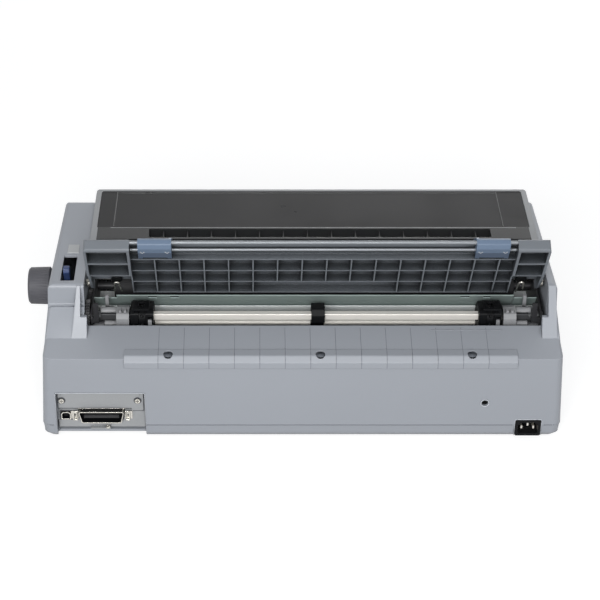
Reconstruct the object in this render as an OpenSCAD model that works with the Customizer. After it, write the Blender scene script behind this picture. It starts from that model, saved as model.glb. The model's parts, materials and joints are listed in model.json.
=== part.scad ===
// Wide-carriage dot matrix printer with a raised rear paper guide.
// Lengths are in millimetres. X runs to the printer's right (the paper knob
// side), Y runs to the rear, and Z is up. The origin is under the middle of
// the whole printer, on the surface that it stands on.

/* [Case] */
// Width of the case at the parting line
case_w = 616.6; // [600:0.2:630]
// Depth of the case
case_d = 343; // [335:1:350]
// Wall thickness of the plastic shells
wall = 3; // [2.5:0.1:3.5]
// How much narrower the case is at its front, on each side
front_taper = 8; // [4:0.5:10]
// Height of the rear edge of the deck
shoulder_z = 115.5; // [112:0.5:118]
// Height of the side towers at the rear
tower_z = 178.5; // [176:0.5:181]
// Height of the parting line between the two case shells
parting_z = 20.8; // [18:0.1:23]

/* [Paper guide] */
// Lean of the raised paper guide from the vertical, in degrees
guide_lean = 30; // [25:1:32]
// Length of the paper guide from its pivot to its top edge
guide_len = 109; // [106:1:112]
// Height of one row of stiffening cells
cell_row = 27; // [24:0.5:27]
// Width of one stiffening cell
cell_w = 28.2; // [26:0.1:34]

/* [Paper feed] */
// Radius of the platen roller
platen_r = 18; // [16:0.5:18]
// Module of the feed gears
gear_module = 1.25; // [1.25]
// Teeth of the platen gear
platen_teeth = 38; // [38]
// Radius of the paper knob
knob_r = 23; // [20:0.5:24]
// Side of the square tractor drive shaft
drive_side = 8; // [7.5:0.1:8.5]
// Holes of fanfold paper are this far apart
pin_pitch = 12.7; // [12.7]

/* [Hidden] */
$fn = 48;
arc_steps = 5;

// Place of the origin in the case's own coordinates, whose y is 0 at the rear
// face and whose x is 0 on the middle of the case
knob_x = 304;
knob_len = 27;
side_reach = case_w / 2 - 0.24;
lip_reach = 2.2;
switch_reach = 1.8;
origin_x = (knob_x + knob_len - side_reach) / 2;
origin_y = (lip_reach - switch_reach - case_d) / 2;

// Colours
case_grey = [0.63, 0.64, 0.67];
dark_grey = [0.32, 0.34, 0.37];
black_plastic = [0.09, 0.09, 0.1];
steel = [0.74, 0.75, 0.74];
clip_blue = [0.43, 0.49, 0.58];

// Case
case_mid_y = -case_d / 2;
foot_h = 3;
case_bottom = foot_h;
bottom_edge = [6, 4.4];
case_top = 200;
corner_r = 10;
crown_r = 7;
side_shrink = 0.966;
depth_shrink = 0.985;
tower_y = -62;
tower_front = [-250, 183];
front_knee = [-316, 128];
front_mid = [-case_d, 74];
opening_rear_y = -50;
opening_rear_z = 130;
opening_front_y = -268;
bay_right = 256;
bay_left = -287;
// The rear of the bay is narrower, with a steep cheek on each side that comes
// down to the crease between the towers and the deck
crease_y = -31;
bay_step_y = -48;
cheek_top = [tower_y, tower_z - 0.6];
cheek_step_z = 145.9;
cheek_x = [252.5, 260, 264, 270.8];
cheek_x_left = [-280.5, -287.5, -296.2, -298.3];
solid_rear_y = -72;
inner_rim_z = 104;
lip_right = 207.6;
lip_left = -249;
dimple_x = [156.5, -20.3, -196.4];
recess_right = 290.6;
recess_left = 185;
recess_top = 67.6;
recess_depth = 12;
front_slot = [-222, 192, 60, 72];

// Button panel on the sloping front, and the power switch
panel_tilt = atan2(tower_front[1] - front_knee[1], tower_front[0] - front_knee[0]);
panel_mid = (tower_front + front_knee) / 2;
panel_x = 276;
button_size = [22, 8.5];
button_gap = 0.4;
button_y = [16, 1, -14];
switch_x = -266;
switch_z = 48;
switch_size = [13, 21];
switch_pin = [-case_d + 3.4, switch_z];

// Steel chassis
sheet = 2;
frame_x_right = 247;
frame_x_left = -282;
pan_z = 8;
pan_t = 1.5;
pan_top = pan_z + pan_t;
flange_w = 7.5;
flange_z = [131, 138, 158];

// Paper feed
platen_y = -140;
platen_z = 128.5;
platen_right = 226;
platen_left = -258;
shaft_r = 5;
gear_x = 250.3;
gear_w = 5;
idler_teeth = 22;
drive_teeth = 30;
motor_idler_teeth = 24;
pinion_teeth = 12;
pressure_angle = 20;
gear_play = 0.12;
fit = 0.05;
drive_angle = 2.05;
motor_angle = drive_angle - 12 * 360 / platen_teeth;
drive_reach = gear_module * (platen_teeth / 2 + idler_teeth + drive_teeth / 2);
idler_reach = gear_module * (platen_teeth + idler_teeth) / 2;
motor_idler_reach = gear_module * (platen_teeth + motor_idler_teeth) / 2;
pinion_reach = gear_module * (platen_teeth / 2 + motor_idler_teeth + pinion_teeth / 2);
platen_c = [platen_y, platen_z];
idler_c = platen_c + idler_reach * [cos(drive_angle), sin(drive_angle)];
drive_c = platen_c + drive_reach * [cos(drive_angle), sin(drive_angle)];
motor_idler_c = platen_c + motor_idler_reach * [cos(motor_angle), sin(motor_angle)];
pinion_c = platen_c + pinion_reach * [cos(motor_angle), sin(motor_angle)];
guide_shaft_c = [-88, 109.5];
guide_shaft_r = 3;

// Tractors
tractor_w = 27;
tractor_right_x = 175.5;
tractor_left_x = -235.5;
wheel_w = 8;
pins = 6;
wheel_r = pin_pitch * pins / (2 * PI);
pin_h = 3.2;
deck_top = drive_c[1] + wheel_r + 0.9;
lid_t = 2.4;
lid_w = 19;
lid_y = [-73.5, -54];

// Print mechanism
carriage_shaft_c = [-195, 107.5];
carriage_shaft_r = 5;
rail_z = 106;
carriage_x = -40;
carriage_w = 62;
belt_y = -222;
belt_z = 92;
belt_w = 5;
pulley_r = 8;
motor_pulley_x = -246;
tension_pulley_x = 212;

// Printer cover
cover_right = 254.5;
cover_left = -285.3;
cover_hinge = [-112, 172];
cover_pin_r = 2.5;
cover_front_y = -266;
cover_rear_y = -116;
cover_rim = 8;
cover_corner_r = 9;
cover_rise = 3;
window_y = [-258, -173];
comb_x = [-230, 184];
comb_first = 165.7;
comb_pitch = 29.1;
comb_fins = 14;

// Paper guide, in its own plane: a runs up along the panel, b to its underside
guide_pivot = [-90.4, 163.8];
guide_right = 250;
guide_left = -279;
panel_right = 198;
panel_left = -242;
panel_t = 2;
panel_top = guide_len - 5;
rib_t = 1.6;
rib_depth = 10;
ear_depth = 16.3;
ear_foot = 46;
ear_cell = 26;
rail_a = 81;
rod_r = 2;
rod_a = [106.4, 90.2];
rod_b = 4.4;
arm_t = 3;
arm_right = 249;
arm_left = -279;
hinge_pin_r = 3;
edge_guide_w = 38.2;
edge_guide_right_x = 150.4;
edge_guide_left_x = -233.2;

// Paper release lever
lever_x = [274.5, 281.5];
lever_pivot = [-99, 150];

// Interfaces
plate_y = -recess_depth;
cover_screw_x = [194.6, 284.7];
cover_screw_z = 49.5;
port_x = [210.8, 265.1];
port_z = [20, 36.5];
usb_x = [274.6, 286.1];
usb_z = [22.5, 33];
inlet_x = [-284, -253];
inlet_z = [6, 29];

// ---------------------------------------------------------------- helpers

module place() translate([-origin_x, -origin_y, 0]) children();

// A side profile of [y, z] points, extruded along X from x0 to x1
module side_slab(x0, x1, points)
    translate([x0, 0, 0])
        rotate([90, 0, 90])
            linear_extrude(x1 - x0) polygon(points);

// A front profile of [x, z] points, extruded along Y from y0 to y1
module front_slab(y0, y1, points)
    translate([0, y1, 0])
        rotate([90, 0, 0])
            linear_extrude(y1 - y0) polygon(points);

// A plan of [x, y] points, extruded from z0 to z1
module plan_slab(z0, z1, points)
    translate([0, 0, z0]) linear_extrude(z1 - z0) polygon(points);

// A block given by its lowest and highest corners
module block(low, high) translate(low) cube(high - low);

// A round bar along X, centred on a [y, z] point
module bar_x(x0, x1, centre, r)
    translate([x0, centre[0], centre[1]])
        rotate([0, 90, 0]) cylinder(h = x1 - x0, r = r);

// A round bar along Y, centred on an [x, z] point
module bar_y(y0, y1, centre, r)
    translate([centre[0], y0, centre[1]])
        rotate([-90, 0, 0]) cylinder(h = y1 - y0, r = r);

// The arc that rounds corner b of the path a, b, c
function corner_arc(a, b, c, r) =
    r == 0 ? [b] :
    let (u = (a - b) / norm(a - b),
         v = (c - b) / norm(c - b),
         half = acos(u * v) / 2,
         centre = b + (u + v) / norm(u + v) * r / sin(half),
         first = b + u * r / tan(half) - centre,
         last = b + v * r / tan(half) - centre,
         turn = acos(first * last / (r * r)) * sign(cross(first, last)))
    [for (i = [0:arc_steps])
        let (t = turn * i / arc_steps)
        centre + [first[0] * cos(t) - first[1] * sin(t), first[0] * sin(t) + first[1] * cos(t)]];

// A polygon whose corners each have their own radius
function soften(points, radii) =
    [for (i = [0:len(points) - 1])
        each corner_arc(points[(i + len(points) - 1) % len(points)], points[i],
                        points[(i + 1) % len(points)], radii[i])];

// A rectangle with round corners
function round_rect(x0, x1, y0, y1, r) =
    soften([[x0, y0], [x1, y0], [x1, y1], [x0, y1]], [r, r, r, r]);

function left_of(v) = [-v[1], v[0]] / norm(v);

// The place of a path's point i on a copy of the path t to its left
function beside(path, i, t) =
    let (last = len(path) - 1,
         before = left_of(path[max(i, 1)] - path[max(i, 1) - 1]),
         after = left_of(path[min(i, last - 1) + 1] - path[min(i, last - 1)]),
         mid = (before + after) / 2)
    path[i] + mid * t / (mid * mid);

// The outline of a sheet of thickness t bent along a path
function strip(path, t) =
    concat(path, [for (i = [len(path) - 1:-1:0]) beside(path, i, t)]);

function involute(angle) = tan(angle) * 180 / PI - angle;

// Half of a tooth's angle at radius r
function half_tooth(teeth, r) =
    let (pitch_r = gear_module * teeth / 2,
         base_r = pitch_r * cos(pressure_angle),
         at = r <= base_r ? 0 : acos(base_r / r))
    90 / teeth + involute(pressure_angle) - involute(at) - gear_play / pitch_r * 180 / PI;

function gear_outline(teeth) =
    let (pitch_r = gear_module * teeth / 2,
         radii = [pitch_r - 1.2 * gear_module, pitch_r - 0.45 * gear_module, pitch_r,
                  pitch_r + 0.45 * gear_module, pitch_r + 0.85 * gear_module])
    [for (i = [0:teeth - 1])
        for (side = [-1, 1])
            for (k = side < 0 ? [0:4] : [4:-1:0])
                let (angle = i * 360 / teeth + side * half_tooth(teeth, radii[k]))
                radii[k] * [cos(angle), sin(angle)]];

// A spur gear about an axis along X; turn is the angle of one tooth's middle
module gear(teeth, centre, turn, bore_r, x = gear_x, width = gear_w) {
    hub_r = min(bore_r + 3, gear_module * teeth / 2 - 2.2);
    web_r = gear_module * teeth / 2 - 4;
    translate([x, centre[0], centre[1]])
        rotate([90, 0, 90])
            difference() {
                rotate([0, 0, turn]) linear_extrude(width) polygon(gear_outline(teeth));
                translate([0, 0, -1]) cylinder(h = width + 2, r = bore_r);
                if (web_r > hub_r + 2)
                    for (z = [-1, width - 1.2])
                        translate([0, 0, z])
                            difference() {
                                cylinder(h = 2.2, r = web_r);
                                translate([0, 0, -1]) cylinder(h = 5, r = hub_r);
                            }
            }
}

// ---------------------------------------------------------------- side views

frame_outline = soften(
    [[-300, pan_top], [-30, pan_top], [-30, 80], [-54, 104], [-54, 138], [-70, 146], [-100, 148],
     [-122, 149], [-150, 150], [-168, 132], [-262, 132], [-265, 98], [-292, 94], [-300, 50]],
    [0, 0, 6, 8, 6, 5, 8, 6, 8, 6, 4, 5, 6, 6]);
bracket_base = soften(
    [[-97, 103], [-78, 103], [-60, 112], [-60, 124], [-84, 126], [-97, 118]], [4, 4, 5, 4, 6, 5]);
bracket_block = soften(
    [[-80, 106], [-53, 112], [-53, 137], [-57, 142], [-68, 144], [-80, 140]], [2, 4, 3, 3, 3, 4]);
tractor_outline = soften(
    [[-57, 127], [-57, deck_top - 3], [-62, deck_top], [-82, deck_top], [-93, 131], [-98, 112],
     [-95, 102], [-84, 102], [-66, 114]],
    [3, 3, 3, 4, 6, 4, 3, 4, 6]);
edge_guide_outline = soften(
    [[panel_t + 0.4, 85.6], [9, 85.6], [9, 83.6], [11.5, 83.6], [11.5, 103.5], [8.4, 109.2], [2.6, 109.6],
     [-0.6, 107.4], [-1, panel_top + 0.6], [panel_t + 0.4, panel_top + 0.6]],
    [0.5, 0, 0, 0.6, 4, 3, 2, 1, 0, 0.4]);
upper_plate_path = [[-85, 150.5], [-90.5, 143.5], [-96.5, 135], [-105, 124.5], [-112, 116.5], [-122, 112.5]];
lower_plate_path = [[-99.5, 126], [-103, 116], [-112, 108.5], [-126, 105], [-150, 105], [-160, 108]];

// ---------------------------------------------------------------- case

function plan_points(inset) =
    let (rear = case_w / 2 - inset,
         front = case_w / 2 - front_taper - inset,
         depth = case_d / 2 - inset,
         r = corner_r - inset)
    soften([[rear, depth], [-rear, depth], [-front, -depth], [front, -depth]], [r, r, r + 6, r + 6]);

// The case's plan, which narrows towards the top
module drafted_plan(inset)
    translate([0, case_mid_y, parting_z])
        linear_extrude(case_top - parting_z, scale = [side_shrink, depth_shrink], slices = 1, segments = 0)
            polygon(plan_points(inset));

// Side view of the towers and of the front, with the walls moved in by t
function tower_profile(t, base) = soften(
    [[5, base], [5, shoulder_z - 3 - t], [-1 - t, shoulder_z - t],
     [crease_y, deck_z(crease_y) - t], [tower_y + 4 - t, 149 - t],
     [tower_y - t, 153 - t], [tower_y - t, tower_z - t], tower_front - [0, t],
     front_knee + [t, -t], [front_mid[0] + t, front_mid[1]], [front_mid[0] + t, base]],
    [0, 0, 0, 0, 4, 3, 5, 13, 9, 14, 0]);

// Half of the case's width at a depth and a height
function half_at(y, z) =
    (case_w / 2 + front_taper * y / case_d)
    * (1 - (1 - side_shrink) * (z - parting_z) / (case_top - parting_z));

// Height of the deck at a depth
function deck_z(y) = shoulder_z + (opening_rear_z - shoulder_z) * y / opening_rear_y;

// Upright slices with round upper corners, hulled along a row of [y, z] points
module crown(points, base)
    hull()
        for (p = points) {
            low = half_at(p[0], base) + 0.3;
            high = half_at(p[0], p[1]) + 0.3;
            front_slab(p[0] - 0.1, p[0] + 0.1,
                soften([[-low, base], [low, base], [high, p[1]], [-high, p[1]]], [0, 0, crown_r, crown_r]));
        }

// The case's outside, whose upper side edges are round
module case_block(base)
    intersection() {
        drafted_plan(0);
        side_slab(-case_w, case_w, tower_profile(0, base));
        union() {
            crown([[tower_y + 0.5, tower_z], tower_front, front_knee, front_mid - [2, 0]], base - 1);
            crown([[crease_y + 1, 126], [tower_y + 3, 150], [tower_y - 10, 150]], base - 1);
            crown([[8, shoulder_z - 6], [-1, shoulder_z + 0.5], [crease_y - 2, 126]], base - 1);
        }
    }

// Side view of the space between the towers, down to the deck
function bay_profile() =
    [[opening_rear_y, 90], [opening_front_y, 90], [opening_front_y, 230], [bay_step_y, 230],
     [bay_step_y, deck_z(bay_step_y)], [opening_rear_y, opening_rear_z]];
function bay_rear_profile() =
    [[bay_step_y - 1, 230], [crease_y, 230], [crease_y, deck_z(crease_y)],
     [bay_step_y - 1, deck_z(bay_step_y - 1)]];

module case_shell() {
    difference() {
        case_block(parting_z - 1);
        // space inside the towers, which are solid behind their bevels
        intersection() {
            drafted_plan(wall);
            side_slab(-case_w, case_w, tower_profile(wall, parting_z - 2));
            union() {
                block([bay_right + wall, -case_d, 0], [case_w, solid_rear_y, case_top]);
                block([-case_w, -case_d, 0], [bay_left - wall, solid_rear_y, case_top]);
                block([cheek_x[3] + 4, -case_d, 0], [case_w, 10, case_top]);
                block([-case_w, -case_d, 0], [case_w, 10, inner_rim_z]);
            }
        }
        // space under the deck and in front of the cover
        intersection() {
            drafted_plan(wall);
            side_slab(bay_left, bay_right,
                [[10, 0], [10, shoulder_z - wall], [-2, shoulder_z - wall],
                 [opening_rear_y - 10, opening_rear_z - wall + 3], [opening_rear_y - 10, 0]]);
        }
        intersection() {
            drafted_plan(wall);
            side_slab(bay_left, bay_right, tower_profile(wall, parting_z - 2));
            block([bay_left - 1, -case_d, 0], [bay_right + 1, opening_front_y - wall, case_top]);
        }
        side_slab(bay_left, bay_right, bay_profile());
        side_slab(cheek_x_left[0], cheek_x[0], bay_rear_profile());
    }
}

// Rolled lip that laps over the rear edge of the deck
module rear_lip() {
    side_slab(lip_left, lip_right,
        soften([[-15, shoulder_z + 1], [-15, shoulder_z + 5.4], [-3.5, shoulder_z + 3.4],
                [lip_reach, shoulder_z - 3], [lip_reach, shoulder_z - 11.5], [-2, shoulder_z - 11.5],
                [-2, shoulder_z - 2]],
               [0, 0.8, 4, 3, 1, 0, 0]));
}

module upper_case()
    color(case_grey)
        place()
            difference() {
                union() {
                    case_shell();
                    cheek(cheek_x);
                    cheek(cheek_x_left);
                    rear_lip();
                    // walls of the recess for the interface connectors
                    difference() {
                        front_slab(-recess_depth - wall, -1,
                            round_rect(recess_left - wall, recess_right + wall, parting_z,
                                       recess_top + wall, 3));
                        block([recess_left, -recess_depth, 0], [recess_right, 2, recess_top]);
                        block([recess_left + 1, -20, 0], [recess_right - 1, 2, recess_top - 1]);
                    }
                    // boss round the knob's shaft
                    bar_x(289, 301, platen_c, 14);
                }
                // the lip's dimples
                for (x = dimple_x)
                    translate([x, -6.4, shoulder_z + 1]) cylinder(h = 20, r = 5.5);
                // interface recess and power inlet
                block([recess_left, -recess_depth, 0], [recess_right, 6, recess_top]);
                front_slab(-8, 6, soften([[inlet_x[0], 0], [inlet_x[1], 0],
                    [inlet_x[1], inlet_z[1]], [inlet_x[0], inlet_z[1]]], [0, 0, 2, 2]));
                bar_y(-8, 6, [-215, 53.3], 4);
                // knob shaft and pivots of the paper guide
                bar_x(250, 320, platen_c, shaft_r + 1.5);
                bar_x(bay_right - 1, bay_right + wall + 1, guide_pivot, hinge_pin_r + fit);
                bar_x(bay_left - wall - 1, bay_left + 1, guide_pivot, hinge_pin_r + fit);
                bar_x(bay_right - 1, bay_right + wall + 1, cover_hinge, cover_pin_r + fit);
                bar_x(bay_left - wall - 1, bay_left + 1, cover_hinge, cover_pin_r + fit);
                // slot of the release lever
                block([268, -126, 160], [284, -72, 190]);
                // front paper slot
                block([front_slot[0], -case_d - 2, front_slot[2]],
                      [front_slot[1], -case_d + 12, front_slot[3]]);
                button_windows();
                switch_window();
                cooling_slots();
            }

// Where the cheeks' steep rear face is at a height
function cheek_y(z) =
    crease_y + (cheek_top[0] - crease_y) * (z - deck_z(crease_y)) / (cheek_top[1] - deck_z(crease_y));

// Cheek beside the bay; x holds its inner faces, low and high, and its outer
// edge, high and low
module cheek(x) {
    hull() {
        side_slab(min(x[1], x[2]), max(x[1], x[2]),
            [[tower_y - 4, 108], [tower_y - 4, cheek_top[1]], cheek_top, [cheek_y(108), 108]]);
        side_slab(x[3] - 0.1, x[3] + 0.1,
            [[tower_y - 4, 108], [tower_y - 4, 122], [cheek_y(122), 122], [cheek_y(108), 108]]);
    }
    side_slab(min(x[0], x[1]) - 0.1, max(x[0], x[1]) + 0.1,
        [[bay_step_y, 112], [bay_step_y, cheek_step_z], [cheek_y(cheek_step_z), cheek_step_z],
         [cheek_y(112), 112]]);
}

// Things on the sloping front are drawn flat and tipped into place; z = 0 is
// the surface and y runs up the slope from its middle
module on_slope() translate([panel_x, panel_mid[0], panel_mid[1]]) rotate([panel_tilt, 0, 0]) children();

module button_windows() {
    half = button_size / 2 + [button_gap, button_gap];
    on_slope()
        for (y = button_y)
            linear_extrude(20, center = true)
                polygon(round_rect(-half[0], half[0], y - half[1], y + half[1], 1.5));
}

module button_cap(y) {
    half = button_size / 2;
    color(dark_grey)
        place()
            on_slope() {
                translate([0, 0, -6]) linear_extrude(7.6)
                    polygon(round_rect(-half[0], half[0], y - half[1], y + half[1], 1.2));
                translate([0, 0, 1.5]) linear_extrude(0.6)
                    polygon(round_rect(1 - half[0], half[0] - 1, y - half[1] + 1, y + half[1] - 1, 0.8));
            }
}

module button_pause() button_cap(button_y[0]);
module button_line_feed() button_cap(button_y[1]);
module button_load_eject() button_cap(button_y[2]);

module switch_window() {
    block([switch_x - switch_size[0] / 2, -case_d - 5, switch_z - switch_size[1] / 2],
          [switch_x + switch_size[0] / 2, -case_d + 8, switch_z + switch_size[1] / 2]);
    bar_x(switch_x - switch_size[0] / 2 - 1.5, switch_x + switch_size[0] / 2 + 1.5, switch_pin, 1.3);
}

module power_switch() {
    h = switch_size[1] / 2 - 1.2;
    y = switch_pin[0];
    color(black_plastic)
        place() {
            side_slab(switch_x - switch_size[0] / 2 + 0.4, switch_x + switch_size[0] / 2 - 0.4,
                [[y - 2.4, switch_z - h], [y - 3.4, switch_z], [y - 5.2, switch_z + h - 0.4],
                 [y - 1, switch_z + h - 0.8], [y + 3, switch_z + 4], [y + 3, switch_z - 4],
                 [y, switch_z - h]]);
            bar_x(switch_x - switch_size[0] / 2 - 1.2, switch_x + switch_size[0] / 2 + 1.2, switch_pin, 1.25);
        }
}

// Rows of narrow slots low on both sides of the case
module cooling_slots()
    for (x = [-case_w / 2, case_w / 2])
        for (i = [0:9])
            block([x - 12, -250 + i * 9, 34], [x + 12, -247 + i * 9, 62]);

module lower_plan(inset)
    polygon(plan_points(inset));

// A layer of the lower case, whose plan is moved in by low and high at its ends
module lower_stage(z0, z1, low, high)
    translate([0, case_mid_y, z1])
        mirror([0, 0, 1])
            linear_extrude(z1 - z0, slices = 1, segments = 0,
                scale = [(case_w / 2 - low) / (case_w / 2 - high), (case_d / 2 - low) / (case_d / 2 - high)])
                lower_plan(high);

module lower_case()
    color(case_grey)
        place()
            difference() {
                union() {
                    lower_stage(case_bottom + bottom_edge[0], parting_z, 1.6, 0.6);
                    lower_stage(case_bottom, case_bottom + bottom_edge[0], 1.6 + bottom_edge[1], 1.6);
                }
                difference() {
                    translate([0, case_mid_y, case_bottom + wall])
                        linear_extrude(30) lower_plan(wall + 6);
                    // posts under the steel pan
                    for (x = [-270, -90, 90, 270])
                        for (y = [-300, -45])
                            translate([x, y, case_bottom]) cylinder(h = pan_z - case_bottom, r = 6);
                }
                // the rear is open round the connectors and the inlet
                block([recess_left, -recess_depth - 0.5, 0], [recess_right, 6, 40]);
                block([inlet_x[0], -12, inlet_z[0]], [inlet_x[1], 6, 40]);
                // slots for cooling air
                for (x = [-190:14:-64])
                    block([x, -240, 0], [x + 3, -190, 20]);
                for (x = [64:14:190])
                    block([x, -240, 0], [x + 3, -190, 20]);
            }

module rubber_feet()
    color(black_plastic)
        place()
            for (x = [-272, 272])
                for (y = [-305, -42])
                    translate([x, y, 0])
                        rotate_extrude()
                            polygon([[0, 0], [8.5, 0], [9.5, 1], [10, foot_h], [0, foot_h]]);

// ---------------------------------------------------------------- chassis

module base_pan()
    color(steel)
        place() {
            difference() {
                plan_slab(pan_z, pan_top, round_rect(-290, 290, -326, -16, 5));
                block([recess_left - 6, -40, 0], [295, 0, 20]);
                block([inlet_x[0] - 8, -30, 0], [inlet_x[1] + 3, 0, 20]);
                for (x = [-150:60:150])
                    translate([x, -270, 0]) cylinder(h = 20, r = 9);
            }
            for (y = [-326, -17.5])
                block([inlet_x[1] + 5, y, pan_top - 0.5], [recess_left - 8, y + 1.5, pan_top + 9]);
            // axle of the belt's idler
            translate([tension_pulley_x, belt_y, pan_top]) cylinder(h = 88, r = 3);
            translate([tension_pulley_x, belt_y, pan_top]) cylinder(h = 75, r = 5);
        }

module side_frame(x)
    color(steel)
        place()
            difference() {
                side_slab(x, x + sheet, frame_outline);
                bar_x(x - 1, x + sheet + 1, platen_c, shaft_r + fit);
                bar_x(x - 1, x + sheet + 1, drive_c, drive_side * 0.76 + fit);
                bar_x(x - 1, x + sheet + 1, guide_shaft_c, guide_shaft_r);
                bar_x(x - 1, x + sheet + 1, carriage_shaft_c, carriage_shaft_r);
                bar_x(x - 1, x + sheet + 1, pinion_c, 5);
                block([x - 1, -154, 13], [x + sheet + 1, -20, 20]);
                for (hole = [[-250, 60, 22], [-95, 55, 20]])
                    bar_x(x - 1, x + sheet + 1, [hole[0], hole[1]], hole[2]);
            }

// Upright flange at the rear of a side frame, turned towards the paper
module flange(x0, x1, plate)
    color(steel)
        place() {
            block([x0, -56, flange_z[0]], [x1, -54, flange_z[2]]);
            block([min(x0, plate), -56, flange_z[0]], [max(x1, plate), -54, flange_z[1]]);
        }

module frame_right() {
    side_frame(frame_x_right);
    flange(frame_x_right - flange_w, frame_x_right - 1.5, frame_x_right + 1);
    color(steel)
        place()
            for (c = [idler_c, motor_idler_c])
                bar_x(frame_x_right + sheet, gear_x + gear_w, c, 2.5);
}

module frame_left() {
    side_frame(frame_x_left);
    flange(arm_left + arm_t + 0.5, arm_left + arm_t + flange_w - 1, frame_x_left + 1);
}

module main_board() {
    color([0.12, 0.35, 0.2])
        place()
            plan_slab(16, 17.6, round_rect(-120, 282, -150, -34, 2));
    color(black_plastic)
        place() {
            for (x = [-60, 0, 60])
                block([x, -110, 17.6], [x + 28, -82, 20.4]);
            for (x = [-100:16:-68])
                translate([x, -62, 17.6]) cylinder(h = 22, r = 6);
            block([120, -140, 17.6], [190, -132, 27]);
        }
    color(steel)
        place()
            for (x = [-112, 80, 274])
                for (y = [-143, -48])
                    translate([x, y, pan_top]) cylinder(h = 16 - pan_top, r = 3);
}

module power_supply()
    color(steel)
        place() {
            difference() {
                block([-272, -150, pan_top], [-140, -34, 58]);
                block([-270.5, -148.5, pan_top - 1], [-141.5, -35.5, 56.5]);
                for (x = [-262:10:-152])
                    block([x, -130, 50], [x + 4, -54, 62]);
            }
            block([-240, -120, pan_top], [-180, -64, 48]);
        }

// ---------------------------------------------------------------- interfaces

module interface_plate()
    color(steel)
        place() {
            difference() {
                block([recess_left + 1.2, plate_y - 1, 10], [recess_right - 1.2, plate_y, recess_top - 1.2]);
                for (x = cover_screw_x)
                    bar_y(plate_y - 2, plate_y + 1, [x, cover_screw_z], 1.6);
                front_slab(plate_y - 3, plate_y + 2,
                    soften([[port_x[0] - 1, port_z[1] + 1], [port_x[1] + 1, port_z[1] + 1],
                            [port_x[1] - 2, port_z[0] - 1], [port_x[0] + 2, port_z[0] - 1]],
                           [2, 2, 2, 2]));
                block([usb_x[0] - 0.5, plate_y - 3, usb_z[0] - 0.5],
                      [usb_x[1] + 0.5, plate_y + 2, usb_z[1] + 0.5]);
            }
            // tab for the frame ground wire
            block([227.5, plate_y, 10.8], [251.5, plate_y + 6, 12]);
            block([227.5, plate_y, 12], [251.5, plate_y + 1, 19]);
        }

module slot_cover()
    color([0.66, 0.67, 0.68])
        place()
            difference() {
                union() {
                    block([188, plate_y, 38.5], [289, plate_y + 1.2, 65.5]);
                    block([188, plate_y, 34.8], [202, plate_y + 1.2, 38.5]);
                    block([192, plate_y + 1.2, 56], [285, plate_y + 2, 62]);
                }
                for (x = cover_screw_x)
                    bar_y(plate_y - 1, plate_y + 4, [x, cover_screw_z], 1.6);
            }

module screw_y(x, z, y) {
    bar_y(y - 5, y, [x, z], 1.5);
    difference() {
        bar_y(y, y + 2, [x, z], 3.2);
        block([x - 2.4, y + 1.1, z - 0.4], [x + 2.4, y + 3, z + 0.4]);
        block([x - 0.4, y + 1.1, z - 2.4], [x + 0.4, y + 3, z + 2.4]);
    }
}

module interface_screws()
    color([0.85, 0.85, 0.86])
        place() {
            for (x = cover_screw_x)
                screw_y(x, cover_screw_z, plate_y + 1.2);
            translate([230.8, plate_y + 4, 12])
                difference() {
                    cylinder(h = 2, r = 2.6);
                    translate([-2, -0.4, 1.2]) cube([4, 0.8, 2]);
                }
        }

module parallel_port() {
    shell = [[port_x[0], port_z[1]], [port_x[1], port_z[1]], [port_x[1] - 3.5, port_z[0]],
             [port_x[0] + 3.5, port_z[0]]];
    inner = [[port_x[0] + 1.2, port_z[1] - 1.2], [port_x[1] - 1.2, port_z[1] - 1.2],
             [port_x[1] - 4.4, port_z[0] + 1.2], [port_x[0] + 4.4, port_z[0] + 1.2]];
    r = [2.5, 2.5, 2.5, 2.5];
    mid = (port_z[0] + port_z[1]) / 2;
    color(steel)
        place() {
            difference() {
                front_slab(plate_y - 3, plate_y + 7, soften(shell, r));
                front_slab(plate_y - 2, plate_y + 8, soften(inner, [1.6, 1.6, 1.6, 1.6]));
            }
            for (side = [port_x[0] - 9.5, port_x[1] + 0.2])
                difference() {
                    block([side, plate_y, mid - 5.5], [side + 9.3, plate_y + 1.2, mid + 5.5]);
                    bar_y(plate_y - 1, plate_y + 3, [side + 4.6, mid], 1.5);
                }
        }
    color(black_plastic)
        place() {
            block([port_x[0] + 4, plate_y - 18, port_z[0] + 1], [port_x[1] - 4, plate_y - 3, port_z[1] - 1]);
            block([port_x[0] + 6.5, plate_y - 2, mid - 1.8], [port_x[1] - 6.5, plate_y + 5, mid + 1.8]);
        }
    color([0.85, 0.7, 0.35])
        place()
            for (i = [0:17])
                for (z = [mid - 2.1, mid + 1.8])
                    block([port_x[0] + 8.5 + i * 2.16, plate_y - 2, z],
                          [port_x[0] + 9.4 + i * 2.16, plate_y + 4.2, z + 0.3]);
}

// Wire bail that holds the plug; hand is 1 at the right end of the port
module bail(x, hand) {
    mid = (port_z[0] + port_z[1]) / 2;
    color(steel)
        place() {
            for (z = [mid - 6.6, mid + 5.6])
                block([min(x, x + hand * 5.2), plate_y + 2.2, z],
                      [max(x, x + hand * 5.2), plate_y + 3.4, z + 1]);
            block([min(x + hand * 4.2, x + hand * 5.4), plate_y + 2.2, mid - 6.6],
                  [max(x + hand * 4.2, x + hand * 5.4), plate_y + 3.4, mid + 6.6]);
            translate([x + hand * 0.6, plate_y + 2.8, mid - 6.6]) cylinder(h = 13.2, r = 0.6);
        }
}

module parallel_clip_right() bail(port_x[1] + 1.2, 1);
module parallel_clip_left() bail(port_x[0] - 1.2, -1);

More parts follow.
